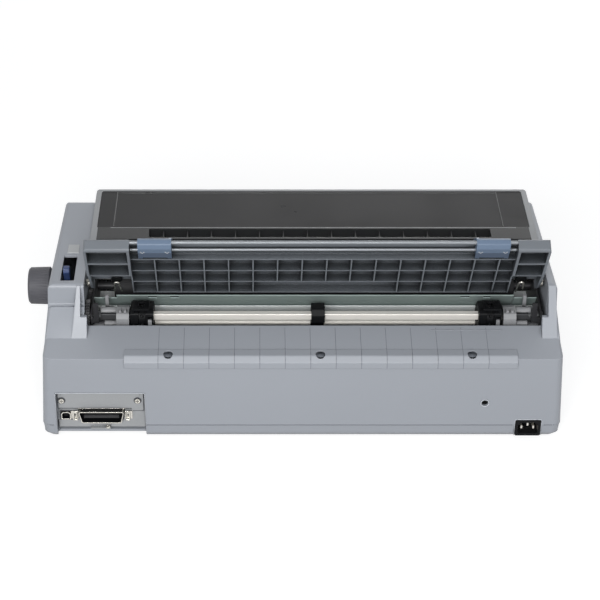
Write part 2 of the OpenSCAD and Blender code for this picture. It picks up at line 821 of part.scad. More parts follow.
module usb_port() {
    outer = soften([[usb_x[0], usb_z[0]], [usb_x[1], usb_z[0]], [usb_x[1], usb_z[1] - 2.5],
                    [usb_x[1] - 2.5, usb_z[1]], [usb_x[0] + 2.5, usb_z[1]], [usb_x[0], usb_z[1] - 2.5]],
                   [0.5, 0.5, 0.5, 0.5, 0.5, 0.5]);
    inner = [[usb_x[0] + 1, usb_z[0] + 1], [usb_x[1] - 1, usb_z[0] + 1], [usb_x[1] - 1, usb_z[1] - 3],
             [usb_x[1] - 3, usb_z[1] - 1], [usb_x[0] + 3, usb_z[1] - 1], [usb_x[0] + 1, usb_z[1] - 3]];
    color(steel)
        place()
            difference() {
                front_slab(plate_y - 14, plate_y + 2.5, outer);
                front_slab(plate_y - 8, plate_y + 3, inner);
            }
    color(black_plastic)
        place()
            block([usb_x[0] + 3.2, plate_y - 8, usb_z[0] + 3.6],
                  [usb_x[1] - 3.2, plate_y + 0.5, usb_z[1] - 3.6]);
}

module power_inlet() {
    x0 = inlet_x[0] + 0.3;
    x1 = inlet_x[1] - 0.3;
    z0 = inlet_z[0] + 0.3;
    z1 = inlet_z[1] - 0.3;
    mid_x = (x0 + x1) / 2;
    mid_z = (z0 + z1) / 2;
    color(black_plastic)
        place()
            difference() {
                union() {
                    front_slab(-26, 0.9, round_rect(x0, x1, z0, z1, 2));
                    front_slab(-7, -3.4, round_rect(x0, x1, z0, z1, 2));
                }
                front_slab(-18, 2, soften(
                    [[mid_x - 12, mid_z - 8], [mid_x + 12, mid_z - 8], [mid_x + 12, mid_z + 3.5],
                     [mid_x + 7.5, mid_z + 8], [mid_x - 7.5, mid_z + 8], [mid_x - 12, mid_z + 3.5]],
                    [2, 2, 1, 1, 1, 1]));
            }
    color(steel)
        place()
            for (pin = [[-7, -1.5], [0, 2.5], [7, -1.5]])
                block([mid_x + pin[0] - 1, -19, mid_z + pin[1] - 2],
                      [mid_x + pin[0] + 1, -3, mid_z + pin[1] + 2]);
}

// ---------------------------------------------------------------- paper feed

module platen_roller()
    color([0.13, 0.13, 0.14])
        place()
            difference() {
                bar_x(platen_left, platen_right, platen_c, platen_r);
                bar_x(platen_left - 1, platen_right + 1, platen_c, shaft_r);
            }

module platen_shaft()
    color(steel)
        place() {
            bar_x(frame_x_left - 4, 330, platen_c, shaft_r);
            bar_x(frame_x_left - 1.4, frame_x_left - 0.4, platen_c, shaft_r + 2.5);
        }

module platen_gear()
    color([0.85, 0.85, 0.8])
        place()
            gear(platen_teeth, platen_c, drive_angle, shaft_r);

module platen_knob()
    color([0.36, 0.36, 0.38])
        place()
            difference() {
                translate([knob_x, platen_y, platen_z])
                    rotate([90, 0, 90])
                        difference() {
                            rotate_extrude()
                                polygon([[shaft_r, 0], [knob_r - 1.5, 0], [knob_r, 1.2],
                                         [knob_r - 0.6, 24.5], [knob_r - 2.6, 26.6],
                                         [knob_r - 6, 27], [knob_r - 9, 26], [shaft_r, 26]]);
                            for (i = [0:35])
                                rotate([0, 0, i * 10])
                                    translate([knob_r + 0.35, 0, 3]) cylinder(h = 19, r = 0.9, $fn = 12);
                        }
                bar_x(303, 329, platen_c, shaft_r - 0.001);
            }

module feed_motor()
    color([0.2, 0.2, 0.21])
        place() {
            side_slab(frame_x_right - 34, frame_x_right,
                soften([for (s = [[-21, -21], [21, -21], [21, 21], [-21, 21]]) pinion_c + s], [4, 4, 4, 4]));
            bar_x(frame_x_right, frame_x_right + sheet + 0.6, pinion_c, 4.9);
        }

module motor_pinion()
    color([0.8, 0.72, 0.42])
        place()
            difference() {
                union() {
                    gear(pinion_teeth, pinion_c, motor_angle + 180, 2);
                    bar_x(frame_x_right + sheet + 0.8, gear_x + 1, pinion_c, 3.5);
                }
                bar_x(gear_x - 5, gear_x + gear_w + 1, pinion_c, 2);
            }

module motor_idler()
    color([0.85, 0.85, 0.8])
        place()
            gear(motor_idler_teeth, motor_idler_c, motor_angle + 180 + 180 / motor_idler_teeth, 2.5 + fit);

module tractor_idler()
    color([0.85, 0.85, 0.8])
        place()
            gear(idler_teeth, idler_c, drive_angle + 180 + 180 / idler_teeth, 2.5 + fit);

module drive_shaft()
    color([0.93, 0.91, 0.86])
        place() {
            translate([-270, drive_c[0], drive_c[1]])
                rotate([90, 0, 90])
                    linear_extrude(270 + 240)
                        polygon(round_rect(-drive_side / 2, drive_side / 2,
                                           -drive_side / 2, drive_side / 2, 0.8));
            bar_x(frame_x_left - 3, -268, drive_c, drive_side * 0.76);
            bar_x(238, gear_x + gear_w + 0.4, drive_c, drive_side * 0.76);
        }

module drive_gear()
    color([0.85, 0.85, 0.8])
        place()
            gear(drive_teeth, drive_c, drive_angle + 180, drive_side * 0.76);

module guide_shaft()
    color(steel)
        place()
            bar_x(frame_x_left - 2, frame_x_right + sheet + 1, guide_shaft_c, guide_shaft_r);

// Holder at the end of the tractor shafts; hand is 1 at the right end
module end_bracket(inner, outer, hand)
    color([0.6, 0.61, 0.61])
        place()
            difference() {
                union() {
                    side_slab(min(inner, outer), max(inner, outer), bracket_base);
                    side_slab(min(inner, inner + hand * 15), max(inner, inner + hand * 15), bracket_block);
                    for (x = [inner + hand * 3, inner + hand * 9])
                        translate([min(x, x + hand * 3), -64, 140]) cube([3, 6, 5.2]);
                    // sleeve over the drive shaft, and a stud under it
                    bar_x(min(inner, inner + hand * 34), max(inner, inner + hand * 34), [-72, 136.4], 4.6);
                    bar_x(min(inner, inner + hand * 29), max(inner, inner + hand * 29), [-60, 126.6], 3.4);
                    block([min(inner + hand * 25, inner + hand * 29), -82, 120],
                          [max(inner + hand * 25, inner + hand * 29), -78, 153]);
                }
                bar_x(min(inner, outer) - 1, max(inner, outer) + 1, drive_c, drive_side * 0.76 + 0.3);
                bar_x(min(inner, outer) - 1, max(inner, outer) + 1, guide_shaft_c, guide_shaft_r);
            }

module bracket_right() end_bracket(204, frame_x_right, 1);
module bracket_left() end_bracket(-237, frame_x_left + sheet, -1);

// Sprocket housing; hand is 1 for the right one, whose lid opens to the right
module tractor(x, hand) {
    mid = x + tractor_w / 2;
    outer = hand > 0 ? x + tractor_w : x;
    color(black_plastic)
        place()
            difference() {
                union() {
                    side_slab(x, x + tractor_w, tractor_outline);
                    // ears that hold the lid's pin
                    for (y = [lid_y[0] + 3, lid_y[1] - 7])
                        block([outer - hand * 2.3 - 1.7, y, deck_top - 2],
                              [outer - hand * 2.3 + 1.7, y + 4, deck_top + 3.1]);
                }
                bar_x(x - 1, x + tractor_w + 1, drive_c, drive_side * 0.76 + 0.4);
                bar_x(x - 1, x + tractor_w + 1, guide_shaft_c, guide_shaft_r + fit);
                bar_x(mid - wheel_w / 2 - 0.4, mid + wheel_w / 2 + 0.4, drive_c, wheel_r + pin_h + 0.5);
                bar_y(-90, -50, [outer - hand * 2.3, deck_top + 1.6], 1.05);
                // seat of the lock lever
                block([mid - 12, -63, 118], [mid - 6.6, -50, 137]);
                bar_x(mid - 13, mid - 5.6, [-60.2, 131], 1.25);
            }
}

module tractor_right() tractor(tractor_right_x, 1);
module tractor_left() tractor(tractor_left_x, -1);

module tractor_lid(x, hand) {
    pin_x = hand > 0 ? x + tractor_w - 2.3 : x + 2.3;
    far = pin_x - hand * (lid_w + 1);
    slot = x + tractor_w / 2;
    color(black_plastic)
        place() {
            difference() {
                block([min(far, pin_x), lid_y[0] + 0.2, deck_top + 3.9],
                      [max(far, pin_x), lid_y[1] - 0.2, deck_top + 3.9 + lid_t]);
                block([slot - 3, lid_y[0] + 4, deck_top], [slot + 3, lid_y[1] - 4, deck_top + 9]);
            }
            block([min(pin_x - 1.2, pin_x + 1.2), lid_y[0] + 8, deck_top + 1.2],
                  [max(pin_x - 1.2, pin_x + 1.2), lid_y[1] - 8, deck_top + 3.9]);
            bar_y(lid_y[0] + 3.2, lid_y[1] - 3.2, [pin_x, deck_top + 1.6], 1);
        }
}

module tractor_lid_right() tractor_lid(tractor_right_x, 1);
module tractor_lid_left() tractor_lid(tractor_left_x, -1);

module lock_lever(x) {
    mid = x + tractor_w / 2 - 9.3;
    color([0.72, 0.72, 0.7])
        place() {
            side_slab(mid - 2.3, mid + 2.3,
                soften([[-60, 133.4], [-62, 130.6], [-60.5, 128], [-58.5, 119], [-55.5, 110], [-52, 111],
                        [-55.5, 122], [-57, 132]], [1, 1, 1, 2, 1, 1, 2, 2]));
            bar_x(mid - 3.3, mid + 3.3, [-60.2, 131], 1.2);
        }
}

module lock_lever_right() lock_lever(tractor_right_x);
module lock_lever_left() lock_lever(tractor_left_x);

// Wheel whose pins pull the paper's edge holes
module pin_wheel(x) {
    mid = x + tractor_w / 2;
    half = drive_side / 2 + 0.15;
    color([0.3, 0.3, 0.32])
        place()
            translate([mid - wheel_w / 2, drive_c[0], drive_c[1]])
                rotate([90, 0, 90])
                    difference() {
                        union() {
                            cylinder(h = wheel_w, r = wheel_r);
                            for (i = [0:pins - 1])
                                rotate([0, 0, 90 + i * 360 / pins])
                                    translate([wheel_r - 1, 0, wheel_w / 2])
                                        rotate([0, 90, 0])
                                            rotate_extrude($fn = 24)
                                                polygon([[0, 0], [1.9, 0], [1.9, 2.2],
                                                         [1, pin_h + 1], [0, pin_h + 1]]);
                        }
                        translate([-half, -half, -1]) cube([2 * half, 2 * half, wheel_w + 2]);
                    }
}

module pin_wheel_right() pin_wheel(tractor_right_x);
module pin_wheel_left() pin_wheel(tractor_left_x);

// Support that keeps the middle of wide paper up
module paper_support()
    color(black_plastic)
        place()
            difference() {
                side_slab(-27, -11, soften(
                    [[-61, 126], [-61, 136], [-66, deck_top - 1], [-80, deck_top - 1], [-92, 126], [-96, 106],
                     [-86, 102], [-80, 112], [-80, 122], [-68, 124]],
                    [2, 3, 4, 5, 6, 4, 3, 3, 2, 2]));
                bar_x(-30, -8, drive_c, drive_side * 0.76 + 0.4);
                bar_x(-30, -8, guide_shaft_c, guide_shaft_r + fit);
            }

module upper_paper_plate()
    color([0.42, 0.47, 0.47])
        place()
            difference() {
                union() {
                    side_slab(-252, 220, strip(upper_plate_path, 1.2));
                    for (x = [-280, 220])
                        side_slab(x, x + 27, strip([for (i = [1:3]) upper_plate_path[i]], 1.2));
                }
                for (x = [[172.5, 183], [146.3, 156.7], [-200, -188.7], [-224.5, -216]])
                    side_slab(x[0], x[1], [[-89, 149.4], [-92, 144.5], [-84, 140], [-80, 146]]);
            }

module lower_paper_plate()
    color([0.62, 0.64, 0.64])
        place() {
            side_slab(frame_x_left + sheet, frame_x_right, strip(lower_plate_path, 1));
        }

// ---------------------------------------------------------------- print mechanism

module carriage() {
    x0 = carriage_x - carriage_w / 2;
    x1 = carriage_x + carriage_w / 2;
    color([0.16, 0.16, 0.17])
        place()
            difference() {
                union() {
                    side_slab(x0, x1, soften(
                        [[-258, 108.5], [-240, 108.5], [-232, 99], [-204, 96], [-186, 98], [-184, 116],
                         [-190, 119], [-236, 119], [-258, 112]],
                        [0, 4, 4, 4, 4, 3, 3, 4, 1]));
                    block([carriage_x - 8, belt_y - 14, 85], [carriage_x + 8, belt_y - 11.2, 98]);
                    block([carriage_x - 8, belt_y - 14, 95.5], [carriage_x + 8, belt_y - 4, 98]);
                }
                bar_x(x0 - 1, x1 + 1, carriage_shaft_c, carriage_shaft_r + fit);
                block([x0 - 1, -232, 90], [x1 + 1, -208, 99.8]);
            }
}

// Print head with its cooling fins and wire nose
module print_head()
    color([0.55, 0.55, 0.56])
        place() {
            block([carriage_x - 21, -222, 119], [carriage_x + 21, -190, 122.5]);
            for (i = [0:6])
                block([carriage_x - 21, -222 + i * 5.2, 122.5], [carriage_x + 21, -219.6 + i * 5.2, 134]);
            side_slab(carriage_x - 8, carriage_x + 8, soften(
                [[-190, 119], [-184, 119], [-168, 121], [-161.4, 123.5], [-161.4, 131], [-170, 133],
                 [-186, 134], [-190, 134]],
                [0, 0, 2, 1, 1, 2, 2, 0]));
        }

module carriage_shaft()
    color(steel)
        place()
            bar_x(frame_x_left - 3, frame_x_right + sheet + 1, carriage_shaft_c, carriage_shaft_r);

module carriage_rail()
    color(steel)
        place() {
            side_slab(frame_x_left + sheet, frame_x_right,
                strip([[-262, 92], [-262, rail_z + 2], [-244, rail_z + 2]], -1.6));
            side_slab(frame_x_left + sheet, frame_x_right,
                strip([[-262, 94], [-270, 94], [-270, 88]], 1.6));
        }

module carriage_motor()
    color([0.2, 0.2, 0.21])
        place() {
            translate([motor_pulley_x, belt_y, 42])
                cylinder(h = 42, r = 20);
            translate([motor_pulley_x, belt_y, 84]) cylinder(h = 2, r = 6);
            translate([motor_pulley_x, belt_y, 86]) cylinder(h = 12, r = 2);
            for (x = [-24, 21])
                block([motor_pulley_x + x, belt_y - 18, pan_top], [motor_pulley_x + x + 3, belt_y + 18, 84]);
            block([motor_pulley_x - 24, belt_y - 18, 82], [motor_pulley_x + 24, belt_y + 18, 84]);
        }

// Belt pulley about a vertical axis
module pulley(x, bore_r)
    color([0.7, 0.7, 0.68])
        place()
            translate([x, belt_y, belt_z - 4.5])
                difference() {
                    rotate_extrude()
                        polygon([[bore_r, 0], [pulley_r + 1.6, 0], [pulley_r + 1.6, 1], [pulley_r, 1.2],
                                 [pulley_r, 7.8], [pulley_r + 1.6, 8], [pulley_r + 1.6, 9], [bore_r, 9]]);
                    for (i = [0:19])
                        rotate([0, 0, i * 18])
                            translate([pulley_r + 0.1, 0, 1.6]) cylinder(h = 5.8, r = 0.6, $fn = 16);
                }

module motor_pulley() pulley(motor_pulley_x, 2);
module tension_pulley() pulley(tension_pulley_x, 3 + fit);

module belt_loop(r)
    polygon(concat(
        [for (a = [90:10:270]) [motor_pulley_x + r * cos(a), belt_y + r * sin(a)]],
        [for (a = [-90:10:90]) [tension_pulley_x + r * cos(a), belt_y + r * sin(a)]]));

module timing_belt()
    color(black_plastic)
        place()
            translate([0, 0, belt_z - belt_w / 2])
                difference() {
                    linear_extrude(belt_w) belt_loop(pulley_r + 1.5);
                    translate([0, 0, -1]) linear_extrude(belt_w + 2) belt_loop(pulley_r + 0.4);
                }

// Wide cartridge: a long ink box with two arms that hold the ribbon out
module ribbon_cartridge()
    color([0.14, 0.14, 0.15])
        place() {
            difference() {
                union() {
                    side_slab(-252, 222, soften(
                        [[-258, 138], [-226, 138], [-226, 154], [-230, 157], [-254, 157], [-258, 154]],
                        [2, 2, 2, 2, 2, 2]));
                    for (x = [[-252, -222], [192, 222]])
                        side_slab(x[0], x[1], soften(
                            [[-230, 138], [-200, 136], [-159.6, 126], [-159.6, 140], [-200, 152], [-230, 157]],
                            [0, 8, 1, 2, 8, 0]));
                }
                translate([207, -241, 150]) cylinder(h = 10, r = 7);
            }
            // winding knob
            translate([207, -241, 150]) cylinder(h = 9, r = 6.4, $fn = 24);
            // the ribbon itself, stretched in front of the platen
            block([-252, -160.6, 125.5], [222, -160, 139.5]);
            // feet on the steel frames
            block([frame_x_left - 1, -256, 132], [-250, -232, 139]);
            block([220, -256, 132], [frame_x_right + sheet + 1, -232, 139]);
        }

// ---------------------------------------------------------------- printer cover

function cover_top(y) = 190.5 + cover_rise * (cover_rear_y - y) / (cover_rear_y - cover_front_y);

module cover_frame()
    color([0.55, 0.55, 0.56])
        place() {
            difference() {
                intersection() {
                    side_slab(cover_left - 1, cover_right + 1, soften(
                        [[cover_front_y, 172], [cover_front_y, cover_top(cover_front_y) - 1],
                         [cover_front_y + 3, cover_top(cover_front_y)], [cover_rear_y, cover_top(cover_rear_y)],
                         [-107, 184], [-105, 166], [-117, 166], [-124, 180], [cover_front_y + 8, 180],
                         [cover_front_y + 3, 172]],
                        [0.6, 3, 3, 5, 4, 5, 5, 6, 4, 0.6]));
                    plan_slab(160, 200, soften(
                        [[cover_left, cover_front_y - 0.2], [cover_right, cover_front_y - 0.2],
                         [cover_right, -100], [cover_left, -100]],
                        [cover_corner_r, cover_corner_r, 0, 0]));
                }
                // seat and opening of the window
                block([cover_left + cover_rim - 1.5, window_y[0], 186.3 + cover_rise * 0.4],
                      [cover_right - cover_rim + 1.5, window_y[1], 210]);
                block([cover_left + cover_rim + 3, window_y[0] + 4, 160],
                      [cover_right - cover_rim - 3, window_y[1] - 3, 210]);
                // paper exit slot under the comb and the free space behind it
                block([comb_x[0], window_y[1] + 4, 160], [comb_x[1], -150, 210]);
                block([cover_left + cover_rim, -146, 160], [cover_right - cover_rim, -100, 210]);
            }
            // comb that the paper's edge is torn on
            for (i = [0:comb_fins - 1])
                block([comb_first - i * comb_pitch, window_y[1] + 3, 181],
                      [comb_first - i * comb_pitch + 1.6, -149, 188.6]);
            // pivot pins
            bar_x(cover_right - 1, cover_right + 4, cover_hinge, cover_pin_r);
            bar_x(cover_left - 4, cover_left + 1, cover_hinge, cover_pin_r);
        }

module cover_window()
    color([0.2, 0.2, 0.21, 0.85])
        place()
            side_slab(cover_left + cover_rim - 1.4, cover_right - cover_rim + 1.4,
                [[window_y[0] + 0.1, 187.6], [window_y[0] + 0.1, cover_top(window_y[0]) - 0.3],
                 [window_y[1] - 0.1, cover_top(window_y[1]) - 0.3], [window_y[1] - 0.1, 187.6]]);

// ---------------------------------------------------------------- paper guide

// Puts things drawn in the guide's plane where the raised guide stands:
// x stays, y is b (towards the underside) and z is a (up along the panel)
module on_guide()
    translate([0, guide_pivot[0], guide_pivot[1]]) rotate([-guide_lean, 0, 0]) children();

// Ribbed underside of the panel
module guide_panel() {
    block([panel_left, 0, -2], [panel_right, panel_t, panel_top]);
    for (row = [0:3])
        block([panel_left, 0, rail_a - row * cell_row - rib_t],
              [panel_right, panel_t + rib_depth, rail_a - row * cell_row]);
    for (x = [panel_right - cell_w:-cell_w:panel_left])
        for (row = [0:2])
            if (row < 2 || abs(x + 16) > 70)
                block([x, 0, rail_a - (row + 1) * cell_row],
                      [x + rib_t, panel_t + rib_depth, rail_a - row * cell_row]);
    block([panel_left, 0, rail_a], [panel_right, panel_t + 3, rail_a + 3]);
}

// Box at the end of the panel; the arm below it carries the pivot
module guide_ear(x0, x1, arm_x, hand) {
    inner = hand > 0 ? x0 : x1;
    difference() {
        intersection() {
            side_slab(x0 - 1, x1 + 1, soften(
                [[0, ear_foot], [0, guide_len - 1], [ear_depth - 0.5, guide_len], [ear_depth, ear_foot]],
                [2, 4, 3, 2]));
            front_slab(-1, ear_depth + 1, soften(
                [[x0, ear_foot - 1], [x1, ear_foot - 1], [x1, guide_len + 0.3], [x0, guide_len + 0.3]],
                hand > 0 ? [0, 0, 5, 0] : [0, 0, 0, 5]));
        }
        for (row = [0:1])
            block([x0 + 3, 3, guide_len - 5 - ear_cell - row * (ear_cell + 3)],
                  [x1 - 3, ear_depth + 4, guide_len - 5 - row * (ear_cell + 3)]);
    }
    side_slab(arm_x, arm_x + arm_t, soften(
        [[-5, -5], [5, -5], [11, 8], [ear_depth, ear_foot + 1], [0, ear_foot + 1], [-4, 12]], [5, 5, 6, 0, 0, 6]));
    // inner wall that ties the ear to the panel
    side_slab(min(inner, inner + hand * rib_t), max(inner, inner + hand * rib_t),
        [[0, -2], [panel_t + rib_depth, -2], [panel_t + rib_depth, 38], [ear_depth - 0.6, ear_foot + 1],
         [ear_depth - 0.6, guide_len - 4], [0, guide_len - 4]]);
    side_slab(min(arm_x, inner), max(arm_x + arm_t, inner),
        [[0, 14], [panel_t, 14], [panel_t, ear_foot + 2], [0, ear_foot + 2]]);
}

module paper_guide()
    color(dark_grey)
        place()
            on_guide() {
                guide_panel();
                guide_ear(panel_right, guide_right, arm_right - arm_t, 1);
                guide_ear(guide_left, panel_left, arm_left, -1);
                bar_x(arm_right - 1, bay_right + 2.5, [0, 0], hinge_pin_r);
                bar_x(bay_left - 2.5, arm_left + 1, [0, 0], hinge_pin_r);
            }

module guide_rods()
    color(steel)
        place()
            on_guide()
                for (a = rod_a)
                    bar_x(panel_left, panel_right, [rod_b, a], rod_r);

// Slider on the two rods, with the fence that the paper's edge runs along
module edge_guide(x, hand) {
    inner = hand > 0 ? x + edge_guide_w - 3 : x;
    color(clip_blue)
        place()
            on_guide()
                difference() {
                    union() {
                        side_slab(x, x + edge_guide_w, edge_guide_outline);
                        side_slab(inner, inner + 3, soften(
                            [[-0.4, 62], [-0.4, 106], [-1.4, 106], [-3, 104.5], [-10, 90], [-13, 82], [-13, 66]],
                            [1, 0, 0, 2, 4, 4, 4]));
                        // hooks at the lower corners
                        for (h = [x, x + edge_guide_w - 5])
                            block([h, 9.2, 81.6], [h + 5, 11.3, 86]);
                    }
                    for (a = rod_a)
                        bar_x(x - 1, x + edge_guide_w + 1, [rod_b, a], rod_r + fit);
                }
}

module edge_guide_right() edge_guide(edge_guide_right_x, -1);
module edge_guide_left() edge_guide(edge_guide_left_x, 1);

// ---------------------------------------------------------------- paper path lever

module release_lever()
    color([0.24, 0.3, 0.42])
        place() {
            side_slab(lever_x[0], lever_x[1], soften(
                [[-104, 145], [-94, 145], [-92, 156], [-88, 172], [-83, 182], [-85, 187], [-92, 187],
                 [-97, 181], [-96, 170], [-104, 156]],
                [5, 5, 8, 8, 2, 2, 2, 3, 8, 5]));
            bar_x(bay_right + wall + 1, 282, lever_pivot, 3);
        }

// ---------------------------------------------------------------- assembly

lower_case();
upper_case();
rubber_feet();
base_pan();
interface_plate();
slot_cover();
interface_screws();
parallel_port();
parallel_clip_right();
parallel_clip_left();
usb_port();
power_inlet();
frame_right();
frame_left();
main_board();
power_supply();
platen_roller();
platen_shaft();
platen_gear();
platen_knob();
feed_motor();
motor_pinion();
motor_idler();
tractor_idler();
drive_shaft();
drive_gear();
guide_shaft();
bracket_right();
bracket_left();
tractor_right();
tractor_left();
tractor_lid_right();
tractor_lid_left();
lock_lever_right();
lock_lever_left();
pin_wheel_right();
pin_wheel_left();
paper_support();
upper_paper_plate();
lower_paper_plate();
carriage();
print_head();
carriage_shaft();
carriage_rail();
carriage_motor();
motor_pulley();
tension_pulley();
timing_belt();
ribbon_cartridge();
cover_frame();
cover_window();
paper_guide();
guide_rods();
edge_guide_right();
edge_guide_left();
release_lever();
power_switch();
button_pause();
button_line_feed();
button_load_eject();
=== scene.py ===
"""Looks of the wide-carriage dot matrix printer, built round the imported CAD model."""

import json
import math

import bmesh
import bpy
from mathutils import Euler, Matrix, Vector
from mathutils.bvhtree import BVHTree


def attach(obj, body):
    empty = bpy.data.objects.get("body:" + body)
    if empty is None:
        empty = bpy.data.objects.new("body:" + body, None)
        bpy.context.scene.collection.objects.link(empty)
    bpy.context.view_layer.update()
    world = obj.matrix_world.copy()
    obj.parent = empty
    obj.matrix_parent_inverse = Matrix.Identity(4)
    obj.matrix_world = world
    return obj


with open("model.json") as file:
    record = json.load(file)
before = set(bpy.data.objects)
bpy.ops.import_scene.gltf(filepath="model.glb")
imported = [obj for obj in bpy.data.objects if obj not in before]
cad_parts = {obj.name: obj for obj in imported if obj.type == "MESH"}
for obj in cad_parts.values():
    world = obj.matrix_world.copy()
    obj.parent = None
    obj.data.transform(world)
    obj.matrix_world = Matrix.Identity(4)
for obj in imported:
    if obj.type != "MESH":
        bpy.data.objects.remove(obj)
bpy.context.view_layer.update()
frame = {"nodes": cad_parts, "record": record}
NODES = frame["nodes"]

# The photograph: its size and its lens in pixels, and where the view is centred
PHOTO_PX = 600
FOCAL_PX = 1728
CENTRE_PX = 254
CAMERA_TILT = 33
SENSOR_MM = 36
# Where the camera stands, in metres in the frame
CAMERA_PLACE = (0.0453, 1.8109, 1.2630)

# Places below are in the case's own millimetres, as in the CAD source: x is 0 on
# the middle of the case, y is 0 at its rear face, and z is 0 on the table
ORIGIN = (11.47, -171.3)
# Pivot and lean of the raised paper guide
GUIDE_PIVOT = (-90.4, 163.8)
GUIDE_LEAN = math.radians(30)
# Rays that find the faces start at these heights, the lower one over the deck and the
# higher one over the towers, cover and front, or behind the rear face
OVER_DECK = 180
OVER_TOP = 240
BEHIND = 20
# Directions of those rays; a rear face looks in the direction -AHEAD
DOWN = Vector((0, 0, -1))
AHEAD = Vector((0, -1, 0))


def at(x, y, z):
    """A place given in the case's millimetres, in the frame's metres."""
    return Vector(((x - ORIGIN[0]) / 1000, (y - ORIGIN[1]) / 1000, z / 1000))


def on_guide(x, b, a):
    """A place on the raised guide: a runs up the panel and b out of its underside."""
    y = GUIDE_PIVOT[0] + b * math.cos(GUIDE_LEAN) + a * math.sin(GUIDE_LEAN)
    z = GUIDE_PIVOT[1] - b * math.sin(GUIDE_LEAN) + a * math.cos(GUIDE_LEAN)
    return at(x, y, z)


# ---------------------------------------------------------------- stage

# Lights: name, place, size in metres and watts; all look at the same place
LIT_PLACE = (0, 0, 0.1)
LIGHTS = [
    ("key", (0.3, 2.3, 1.4), (1.5, 0.8), 56),
    ("fill", (-1.9, 1.2, 1.0), (1.2, 1.2), 4),
    ("front", (-0.5, -2.4, 0.5), (1.8, 0.6), 22),
    ("top", (0.2, -0.9, 2.2), (1.8, 1.2), 3),
]
WHITE = (1, 1, 1, 1)
# What the world lights the printer with, apart from the white that the camera sees
SKY_COLOUR = (0.93, 0.96, 1.0, 1)
SKY_STRENGTH = 0.25
# The floor: side and depth below the table in metres, its grey, and its own glow,
# which brings the lit part up to white and leaves the shadow
FLOOR_SIDE = 12
FLOOR_DEPTH = 0.0004
FLOOR_GREY = (0.42, 0.42, 0.42, 1)
FLOOR_GLOW = 0.74


def make_camera():
    data = bpy.data.cameras.new("camera")
    data.sensor_width = SENSOR_MM
    data.lens = SENSOR_MM * FOCAL_PX / PHOTO_PX
    data.shift_x = (PHOTO_PX / 2 - CENTRE_PX) / PHOTO_PX
    data.clip_end = 20
    camera = bpy.data.objects.new("camera", data)
    camera.location = CAMERA_PLACE
    camera.rotation_euler = Euler((math.radians(90 - CAMERA_TILT), 0, math.pi))
    bpy.context.scene.collection.objects.link(camera)
    bpy.context.scene.camera = camera
    bpy.context.scene.view_settings.view_transform = "Standard"


def area_light(name, place, target, size, watts):
    data = bpy.data.lights.new(name, "AREA")
    data.shape = "RECTANGLE"
    data.size, data.size_y = size
    data.energy = watts
    light = bpy.data.objects.new(name, data)
    light.location = place
    aim = Vector(target) - Vector(place)
    light.rotation_euler = aim.to_track_quat("-Z", "Y").to_euler()
    bpy.context.scene.collection.objects.link(light)


def make_lights():
    for name, place, size, watts in LIGHTS:
        area_light(name, place, LIT_PLACE, size, watts)


def seen_directly(tree):
    """1 for what the camera sees itself, or in a mirror or through glass."""
    rays = tree.nodes.new("ShaderNodeLightPath")
    kinds = ["Is Camera Ray", "Is Glossy Ray", "Is Transmission Ray"]
    value = rays.outputs[kinds[0]]
    for kind in kinds[1:]:
        either = tree.nodes.new("ShaderNodeMath")
        either.operation = "MAXIMUM"
        tree.links.new(value, either.inputs[0])
        tree.links.new(rays.outputs[kind], either.inputs[1])
        value = either.outputs[0]
    return value


def make_world():
    world = bpy.data.worlds.new("studio")
    bpy.context.scene.world = world
    world.use_nodes = True
    tree = world.node_tree
    tree.nodes.clear()
    out = tree.nodes.new("ShaderNodeOutputWorld")
    mix = tree.nodes.new("ShaderNodeMixShader")
    lamp = tree.nodes.new("ShaderNodeBackground")
    seen = tree.nodes.new("ShaderNodeBackground")
    lamp.inputs["Color"].default_value = SKY_COLOUR
    lamp.inputs["Strength"].default_value = SKY_STRENGTH
    seen.inputs["Color"].default_value = WHITE
    seen.inputs["Strength"].default_value = 1.0
    tree.links.new(seen_directly(tree), mix.inputs[0])
    tree.links.new(lamp.outputs[0], mix.inputs[1])
    tree.links.new(seen.outputs[0], mix.inputs[2])
    tree.links.new(mix.outputs[0], out.inputs[0])


def make_floor():
    """A pale floor that the camera sees as white, apart from the printer's shadow."""
    bpy.ops.mesh.primitive_plane_add(size=FLOOR_SIDE)
    floor = bpy.context.active_object
    floor.name = "floor"
    floor.location.z = -FLOOR_DEPTH
    mat = bpy.data.materials.new("floor")
    mat.use_nodes = True
    tree = mat.node_tree
    shader = tree.nodes["Principled BSDF"]
    shader.inputs["Base Color"].default_value = FLOOR_GREY
    shader.inputs["Roughness"].default_value = 0.9
    shader.inputs["Specular IOR Level"].default_value = 0.0
    shader.inputs["Emission Color"].default_value = WHITE
    level = tree.nodes.new("ShaderNodeMath")
    level.operation = "MULTIPLY"
    level.inputs[1].default_value = FLOOR_GLOW
    tree.links.new(seen_directly(tree), level.inputs[0])
    tree.links.new(level.outputs[0], shader.inputs["Emission Strength"])
    floor.data.materials.append(mat)


# ---------------------------------------------------------------- materials


def srgb(*levels):
    """A colour given as 0 to 255 levels, as the renderer wants it."""
    out = []
    for level in levels:
        c = level / 255
        out.append(c / 12.92 if c <= 0.04045 else ((c + 0.055) / 1.055) ** 2.4)
    return (*out, 1)


def shade(colour, factor):
    return (*(min(1, c * factor) for c in colour[:3]), 1)


